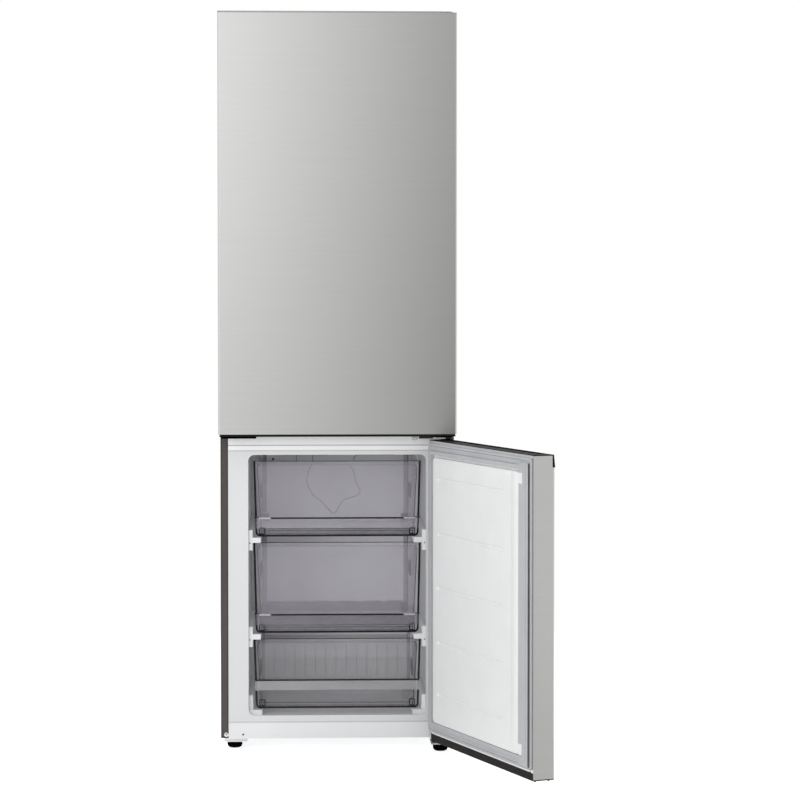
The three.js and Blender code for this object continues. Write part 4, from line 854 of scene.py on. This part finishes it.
def drawers():
    """The drawers. Their thin plastic passes light on to what lies behind."""
    for name in ("top", "middle", "bottom"):
        solid, body = f"freezer_drawer_{name}", f"drawer_{name}"
        d = span(solid)
        for ray in ("diffuse", "shadow"):
            setattr(frame["nodes"][solid], f"visible_{ray}", False)
        drawer_plate(name, d, body)
        drawer_pull(name, d, body)
        drawer_tub(name, d, body)
    bottom_drawer_back(d)


# ---- freezer cavity

DUCT = SimpleNamespace(
    top=712.4, line=1.6,
    level=((-136, -18), (58, 158)),
    short=(-104, -60), short_drop=20,
    long=(-187, 196), long_levels=(560, 742),
    slant=((48, 14), (58, 0)),  # place across and drop below the top
    sensor=(-166, 700), sensor_radius=3.2,
    baffle_foot=640,
)
DUCT_BEAD = (
    (-63, 685), (-71, 670), (-76, 652), (-75, 634), (-69, 620), (-62, 607), (-53, 597), (-37, 587),
    (-26, 574), (-14, 561), (-5, 553), (0, 555), (6, 565), (15, 581), (28, 594), (54, 599),
    (64, 607), (67, 619), (61, 628), (54, 640), (54, 652), (51, 665), (39, 683),
)
LEDGE = SimpleNamespace(lift=16.8, top=36, lip=10, foot=34)


def cavity_lines():
    """Duct seams, the sensor hole, the duct's baffle and its bead at the freezer's back wall."""
    y = COVER.y0
    depth = y - 0.5, y + 0.2
    seams = Form()
    for x0, x1 in DUCT.level:
        seams.block(x0, x1, *depth, DUCT.top - DUCT.line, DUCT.top)
    uprights = [(x, DUCT.top - DUCT.short_drop, DUCT.top) for x in DUCT.short]
    uprights += [(x, *DUCT.long_levels) for x in DUCT.long]
    for x, z0, z1 in uprights:
        seams.block(x - DUCT.line / 2, x + DUCT.line / 2, *depth, z0, z1)
    slant = [(x, DUCT.top - drop) for x, drop in DUCT.slant]
    seams.prism(strip_path(slant, 0.9), "y", *depth)
    seams.done("freezer_duct_seams", SEAM, "cabinet")
    # a black disc stands for the sensor hole: painted shade in the hole
    x, z = DUCT.sensor
    Form().lathe(button(DUCT.sensor_radius, -1, 0.4), (x, y, z), "y").done(
        "freezer_sensor_hole_shade", FOOT_BLACK, "cabinet")
    behind = COVER.y1 + 0.4
    baffle = Form().bar(COVER.x1 - 12, behind, behind + 1, DUCT.baffle_foot, COVER.z1 - 4)
    baffle.done("freezer_duct_baffle", LINER_SHADED_WHITE, "cabinet")
    Form().tube([(x, y - 0.1, z) for x, z in DUCT_BEAD], 1.0).done(
        "freezer_duct_bead", SEAM, "cabinet")


def floor_runners():
    """Side ledges that the bottom drawer stands on."""
    d = span("freezer_drawer_bottom")
    half = COVER.x1
    floor_z = span("freezer_liner").z0 + LEDGE.lift
    top, seat = d.z0 + LEDGE.top, d.z0 - 0.4
    outline = [
        (half, floor_z), (half, top), (half - LEDGE.lip, top), (half - LEDGE.lip - 1, seat),
        (half - LEDGE.foot, seat), (half - LEDGE.foot, floor_z),
    ]
    for hand, side in HANDS:
        profile = [(side * x, z) for x, z in outline]
        Form().prism(profile, "y", APRON.y1 + 4, d.y1 + 10).done(
            f"bottom_runner_{hand}", WHITE, "cabinet", bevel=1.0)


def runner_screws():
    marks = Form()
    for name in ("top", "middle"):
        for hand, side in HANDS:
            run = span(f"{name}_runner_{hand}")
            outside = run.x0 if side < 0 else run.x1
            place = (outside - side * 3, run.y0, run.z0 + 18)
            marks.lathe(button(1.6, -0.5, 0.3), place, "y", 12)
    marks.done("runner_screws", FOOT_BLACK, "cabinet")


# ---- freezer door, drawn closed

PANEL = SimpleNamespace(x0=-234.5, x1=254.5, z0=78.0, z1=741.5, corner=12, rounding=3, inset=16)
PANEL_FLANGE = SimpleNamespace(inset=12.3, z0=44.9, z1=777.0, thickness=1.5)
PANEL_COLUMNS = (-100.0, 0.0, 100.0)
GROOVE_SHARES = (0.921, 0.714, 0.512, 0.3075, 0.112)  # of the panel's height
GROOVE_ENDS = (-154.5, 226.5)
GROOVE_HALF = 4.8
GROOVE_DEPTH = 3.6
BORDER = (98, 63, 43)  # inner and outer edge and corner blocks, from the door's free edge
BORDER_BLOCK = 26
LINER_EDGE = (774, 781.4)
FOLDS = ((6.0, 5.2), (17.6, 7.5))  # inset and depth of each bellows fold
GASKET = SimpleNamespace(
    reach=22,  # past the panel, below and above
    top=(-284.5, 63.8, 64.8),  # free edge, and depths
    grooves=((-288.2, -284.9, 61.6, 62.4), (-291.0, -288.4, 58.2, 58.9)),
)


def groove_depth(x, z, heights):
    nearest = min(abs(z - height) for height in heights)
    beyond = max(GROOVE_ENDS[0] + GROOVE_HALF - x, x - GROOVE_ENDS[1] + GROOVE_HALF, 0)
    reach = math.hypot(nearest, beyond) / GROOVE_HALF
    return GROOVE_DEPTH * max(0.0, 1 - reach * reach)


def fine_steps(low, high, centres, half, step):
    """The ends of a span, and lines close together near each centre."""
    places = {low, high}
    for centre in centres:
        count = int(2 * half / step)
        places.update(centre - half + i * 2 * half / count for i in range(count + 1))
    return sorted(place for place in places if low <= place <= high)


def door_panel():
    """The freezer door's inner moulding: a flange and a raised panel with five pressed grooves."""
    p, flange, plate, face = PANEL, PANEL_FLANGE, DOOR_DEPTH, PANEL_FACE
    half = DOOR_HALF - flange.inset
    heights = [p.z0 + share * (p.z1 - p.z0) for share in GROOVE_SHARES]
    form = Form()
    outline = rounded(-half, half, flange.z0, flange.z1, 8)
    form.prism(outline, "y", plate - flange.thickness, plate)
    around = GROOVE_HALF + 1
    columns = fine_steps(p.x0 + p.inset, p.x1 - p.inset, GROOVE_ENDS, around, 0.9)
    columns = sorted({*columns, *PANEL_COLUMNS})
    rows = fine_steps(p.z0 + p.inset, p.z1 - p.inset, heights, around, 0.8)
    bm = form.bm
    grid = [
        [bm.verts.new(at(x, face - groove_depth(x, z, heights), z)) for x in columns] for z in rows
    ]
    for low, high in zip(grid, grid[1:]):
        for i in range(len(columns) - 1):
            bm.faces.new((low[i], low[i + 1], high[i + 1], high[i]))
    inner = grid[0][:-1] + [row[-1] for row in grid[:-1]]
    inner += grid[-1][:0:-1] + [row[0] for row in grid[:0:-1]]
    loops = []
    for k in range(7):
        angle = math.radians(15 * k)
        off, drop = p.rounding * (1 - math.sin(angle)), p.rounding * (1 - math.cos(angle))
        loops.append((off, face - drop))
    loops.append((-0.6, plate - 0.4))
    rings = []
    for off, y in loops:
        outline = rounded(p.x0 + off, p.x1 - off, p.z0 + off, p.z1 - off, p.corner - off, 6)
        rings.append(form.loop(outline, "y", y))
    outer = rings[0]
    flat = outer + inner
    for a, b, c in tessellate_polygon([[v.co for v in outer], [v.co for v in inner]]):
        bm.faces.new((flat[a], flat[b], flat[c]))
    for first, second in zip(rings, rings[1:]):
        form.band(first, second)
    bm.faces.new(rings[-1])
    piece = form.done("freezer_door_panel", PANEL_WHITE, "freezer_door", sharp=PANEL_SHARP_ANGLE)
    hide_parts("freezer_door_liner")


def door_panel_border():
    """Raised border along the free edge of the inner panel, with its corner blocks."""
    plate, face = DOOR_DEPTH, PANEL_FACE
    inner, outer, block = (inset - DOOR_HALF for inset in BORDER)
    profile = [
        (inner + 3, face - 0.6), (inner, face + 0.4), (outer + 6, face + 0.4),
        (outer + 2, face - 0.6), (outer - 0.4, face - 4), (outer - 0.6, plate + 0.4),
        (outer + 2, plate + 0.4),
    ]
    Form().prism(profile, "z", PANEL.z0 + 4, PANEL.z1 - 1.5).done(
        "door_panel_border", PANEL_WHITE, "freezer_door")
    corners = Form()
    for z0 in (PANEL.z0 + 2, PANEL.z1 - 2 - BORDER_BLOCK):
        corners.block(block - 0.5, outer + 4, plate + 0.5, face + 0.5, z0, z0 + BORDER_BLOCK)
    corners.done("door_panel_corners", PANEL_WHITE, "freezer_door", bevel=1.6)
    edge = Form().bar(DOOR_HALF - 4, plate - 0.2, plate + 0.6, *LINER_EDGE)
    edge.done("door_liner_edge", RUBBER, "freezer_door")


def gasket_folds():
    """Bellows folds on the low wing and the lip of the freezer door's gasket, darker as painted shade in their
    creases.
    """
    low, high, half = LOWER_BOTTOM + 24.6, LOWER_TOP - 8, DOOR_HALF - 6
    for i, (inset, depth) in enumerate(FOLDS):
        outer = rounded(-half + inset, half - inset, low + inset, high - inset, 8)
        Form().tube([(x, DOOR_DEPTH + depth, z) for x, z in outer], 0.6, closed=True).done(
            f"gasket_fold_{i + 1}", FOLD_SHADE_RUBBER, "freezer_door")


def gasket_free_side():
    """Flat top of the gasket beside the panel, and dark strips of painted shade in the grooves between its wings.
    """
    levels = PANEL.z0 - GASKET.reach, PANEL.z1 + GASKET.reach
    edge, y0, y1 = GASKET.top
    top = Form().block(edge, PANEL.x0 - 0.8, y0, y1, *levels)
    top.done("gasket_flat_top", RUBBER, "freezer_door", bevel=0.3)
    # dark strips of painted shade in the grooves
    grooves = Form()
    for groove in GASKET.grooves:
        grooves.block(*groove, *levels)
    grooves.done("gasket_grooves", GROOVE, "freezer_door")


def door_pegs():
    """The bottom cap's end and the pegs under the free corner that hold it."""
    free = -DOOR_HALF
    end = Form().block(free + 0.8, free + 12, DOOR_DEPTH - 0.1, DOOR_DEPTH + 0.8,
                       LOWER_BOTTOM + 0.6, LOWER_BOTTOM + 18)
    end.done("door_bottom_cap_end", BLACK, "freezer_door")
    pegs = Form()
    for y in (12, 47):
        pegs.lathe([(0, -3), (2.6, -3), (3, 0), (0, 0)], (free + 8, y, LOWER_BOTTOM + 0.2), "z", 12)
    pegs.done("door_bottom_pegs", FOOT_BLACK, "freezer_door")


# ---- cabinet front

CORNER_SCREW = SimpleNamespace(x=-280, z=37, radius=5.6, slot=2.6, width=0.4)
APRON_HOLE = SimpleNamespace(x=-238, z=37, radius=2.4)
MULLION_CAP = SimpleNamespace(x=195, z=787, radius=6, ring=6.6, slot=4.2)
SEAM_HALF = 1.5
LINER_SEAM = 767.5
DOOR_STOP = (-290, -203, 6, 50)  # x and y
DOOR_STOP_DEPTH = 5.5
HINGE_PLATE = (239, 270), (786.4, 790.4)  # x and z
WASHER = (5.6, 11, 2.2)  # bore, radius, thickness
FOOT_NUT = SimpleNamespace(radius=10, z0=16.4, z1=18.4)
THREAD = SimpleNamespace(radius=5.1, wire=0.6, start=17, turns=6, steps=16)
GRIP = SimpleNamespace(count=24, radius=0.9, z0=7.6, z1=14.4)


def cabinet_front():
    """Screws, the mullion's cap, seams, hems and the upper door's stop round the front edge."""
    y = CABINET.y0
    screw, hole = CORNER_SCREW, APRON_HOLE
    r = screw.radius
    heads = Form().lathe([(0, -1.2), (r * 0.8, -1.1), (r, -0.3), (r, 0.4), (0, 0.4)],
                         (screw.x, y, screw.z), "y", 20)
    heads.done("corner_screw", BRIGHT, "cabinet")
    # black screw slots and apron hole: painted shade in the recesses
    slots = Form()
    for u, v in ((screw.slot, screw.width), (screw.width, screw.slot)):
        slots.block(screw.x - u, screw.x + u, y - 1.35, y - 1.1, screw.z - v, screw.z + v)
    slots.lathe(button(hole.radius, -0.3, 0.2), (hole.x, APRON.y0, hole.z), "y", 16)
    slots.done("apron_hole_and_slot_shade", FOOT_BLACK, "cabinet")
    cap, front = MULLION_CAP, MULLION.y0
    r = cap.radius
    Form().lathe([(0, -1.6), (r - 0.8, -1.6), (r, -1), (r, 0.3), (0, 0.3)],
                 (cap.x, front, cap.z), "y").done("mullion_screw_cap", WHITE_STEEL, "cabinet")
    circle = disc(cap.x, cap.z, cap.ring, 24)
    ring = Form().tube([(x, front - 0.5, z) for x, z in circle], 0.8, closed=True)
    # the grey slot block is painted shade in the cap's slot; the ring is the cap's joint
    ring.block(cap.x - cap.slot, cap.x + cap.slot, front - 2.1, front - 1.6,
               cap.z - 0.8, cap.z + 0.8)
    ring.done("mullion_screw_ring", PALE_LINE, "cabinet")
    half = APRON.x1
    seams = Form()
    for z in (APRON.z1 + 0.2, MULLION.z0, LINER_SEAM):
        seams.bar(half, y - 0.3, y + 0.2, z - SEAM_HALF, z + SEAM_HALF)
    seams.done("front_seams", SOFT_LINE, "cabinet")
    # strips of painted shade along the flange's folded edges and its foot
    hems = Form()
    edge = CABINET.x1 - 0.3
    for near, far in ((half + 0.4, half + 3.6), (CABINET.x1 - 3.4, edge)):
        hems.pair(near, far, y - 0.25, y + 0.2, CABINET.z0 + 0.4, UPPER_BOTTOM - 3)
    hems.pair(half, edge, y - 0.2, y + 0.2, CABINET.z0 + 0.3, CABINET.z0 + 4.5)
    hems.done("cabinet_edge_hems", HEM_SHADE, "cabinet")
    Form().bar(DOOR_HALF - 3, 0.9, 4, UPPER_BOTTOM - 0.8, UPPER_BOTTOM + 2).done(
        "upper_door_lower_edge", FOOT_BLACK, "upper_door")
    low, high = UPPER_BOTTOM - DOOR_STOP_DEPTH, UPPER_BOTTOM + 0.2
    Form().prism(rounded(*DOOR_STOP, 6), "z", low, high).done(
        "upper_door_stop", FOOT_BLACK, "upper_door", bevel=0.8)


def middle_hinge_details():
    """The plate's bright front edge and the washers above and below it."""
    front = span("middle_hinge").y0
    across, upright = HINGE_PLATE
    plate = Form().block(*across, front - 0.8, front + 6, *upright)
    plate.done("middle_hinge_plate", BRIGHT, "cabinet", bevel=0.4)
    bore, radius, top = WASHER
    washers = Form()
    for z in (LOWER_TOP + 0.2, UPPER_BOTTOM - 3.2):
        washers.lathe([(bore, 0), (radius, 0), (radius, top), (bore, top), (bore, 0)],
                      (HINGE_PIN.x, HINGE_PIN.y, z))
    washers.done("middle_hinge_washers", FOOT_BLACK, "cabinet")


def feet():
    """Threads, adjusting hexagons and treads of the two front feet."""
    for hand, _ in HANDS:
        foot = span(f"front_foot_{hand}")
        x, y = (foot.x0 + foot.x1) / 2, (foot.y0 + foot.y1) / 2
        body = f"foot_{hand}"
        screw = Form().prism(disc(x, y, FOOT_NUT.radius, 6), "z", FOOT_NUT.z0, FOOT_NUT.z1)
        rise = (foot.z1 - 1 - THREAD.start) / THREAD.turns
        turns = []
        for k in range(THREAD.turns * THREAD.steps + 1):
            a = 2 * math.pi * k / THREAD.steps
            turns.append((x + THREAD.radius * math.cos(a), y + THREAD.radius * math.sin(a),
                          THREAD.start + rise * k / THREAD.steps))
        screw.tube(turns, THREAD.wire)
        screw.done(f"{body}_screw", ZINC, body)
        grips = Form()
        for u, v in disc(x, y, (foot.x1 - foot.x0) / 2 - 0.7, GRIP.count):
            grips.lathe(button(GRIP.radius, GRIP.z0, GRIP.z1), (u, v, 0), "z", 8)
        grips.done(f"{body}_grips", FOOT_BLACK, body)


def left_bracket_lip():
    """Folded front of the left foot's bracket."""
    bracket = span("left_foot_bracket")
    y = bracket.y0
    fold = [(y, 26.6), (y - 1.0, 26.6), (y - 1.0, 22), (y - 2.2, 21), (y - 2.2, 17.4), (y, 17.2)]
    Form().prism(fold, "x", bracket.x0, bracket.x1).done(
        "left_bracket_lip", BRIGHT, "cabinet", bevel=0.3)


# ---- back and top

BACK_SCREW = ((0, 1.6), (3.4, 1.5), (4.2, 0.6), (4.2, -0.6), (0, -0.6))
BACK_SCREWS = SimpleNamespace(x=278, first=60, pitch=300, count=6, inset=24)
COVER_SCREW = ((0, 0.4), (5, 0.4), (5.6, -0.4), (0, -0.4))


def back_details():
    """Screws round the rear panel and the compressor cover."""
    rear, low = span("rear_panel"), span("compressor_cover")
    row = BACK_SCREWS
    places = [(rear.y1 - 1.6, rear.z0 + row.first + k * row.pitch) for k in range(row.count)]
    places += [(low.y1, low.z0 + row.inset), (low.y1, low.z1 - row.inset)]
    heads = Form()
    for side in SIDES:
        for y, z in places:
            heads.lathe(BACK_SCREW, (side * row.x, y, z), "y", 16)
    heads.done("back_screws", ZINC, "cabinet")


def top_details():
    """Screws in the top hinge's cover."""
    cover = span("top_hinge_cover")
    marks = Form()
    for x in (cover.x0 + 16, cover.x1 - 16):
        marks.lathe(COVER_SCREW, (x, cover.y1 - 18, cover.z1 - 0.45), "z", 20)
    marks.done("hinge_cover_screws", ZINC, "cabinet")


# ---- fridge interior

CRISPER_PULL = SimpleNamespace(half=60, low=22, high=4)


def shelf_trims():
    """Moulded trims along the front and the back of each glass."""
    for name in ("glass_shelf_1", "glass_shelf_2", "glass_shelf_3", "crisper_cover"):
        shelf = span(name)
        z, y0, y1 = shelf.z0, shelf.y0, shelf.y1
        profiles = {
            "front": [(y0 - 1, z - 7), (y0 + 9, z - 7), (y0 + 9, z - 0.2),
                      (y0 + 1.5, z - 0.2), (y0 + 1.5, z + 5.6), (y0 - 1, z + 5.6)],
            "back": [(y1 - 12, z + 4.2), (y1 - 12, z + 7), (y1 - 3, z + 16), (y1, z + 16),
                     (y1, z + 4.2)],
        }
        for end, profile in profiles.items():
            Form().prism(profile, "x", shelf.x0 + 1, shelf.x1 - 1).done(
                f"{name}_{end}_trim", LIGHT_GREY, "cabinet", bevel=0.8)


def crisper_details():
    pull = CRISPER_PULL
    for hand, _ in HANDS:
        box = span(f"crisper_drawer_{hand}")
        middle = (box.x0 + box.x1) / 2
        low, high = box.z1 - pull.low, box.z1 - pull.high
        outline = rounded(middle - pull.half, middle + pull.half, low, high, 6)
        Form().prism(outline, "y", box.y0 - 1.2, box.y0 - 0.1).done(
            f"crisper_{hand}_pull", LIGHT_GREY, "cabinet", bevel=0.4)


def bin_details():
    """Thickened rims of the door bins."""
    for i, body in enumerate(("bin_low", "bin_middle", "bin_high")):
        tray = span(f"door_bin_{i + 1}")
        half = tray.x1 - 5
        outline = rounded(-half, half, tray.y0 + 0.8, tray.y1 - 0.8, 6)
        Form().tube([(x, y, tray.z1 - 1.4) for x, y in outline], 1.6, 8, True).done(
            f"{body}_rim", LIGHT_GREY, body)


# ---- assembly

camera()
stage()
dress_solids()
drawers()
cavity_lines()
floor_runners()
runner_screws()
door_panel()
door_panel_border()
gasket_folds()
gasket_free_side()
door_pegs()
cabinet_front()
middle_hinge_details()
feet()
left_bracket_lip()
back_details()
top_details()
shelf_trims()
crisper_details()
bin_details()
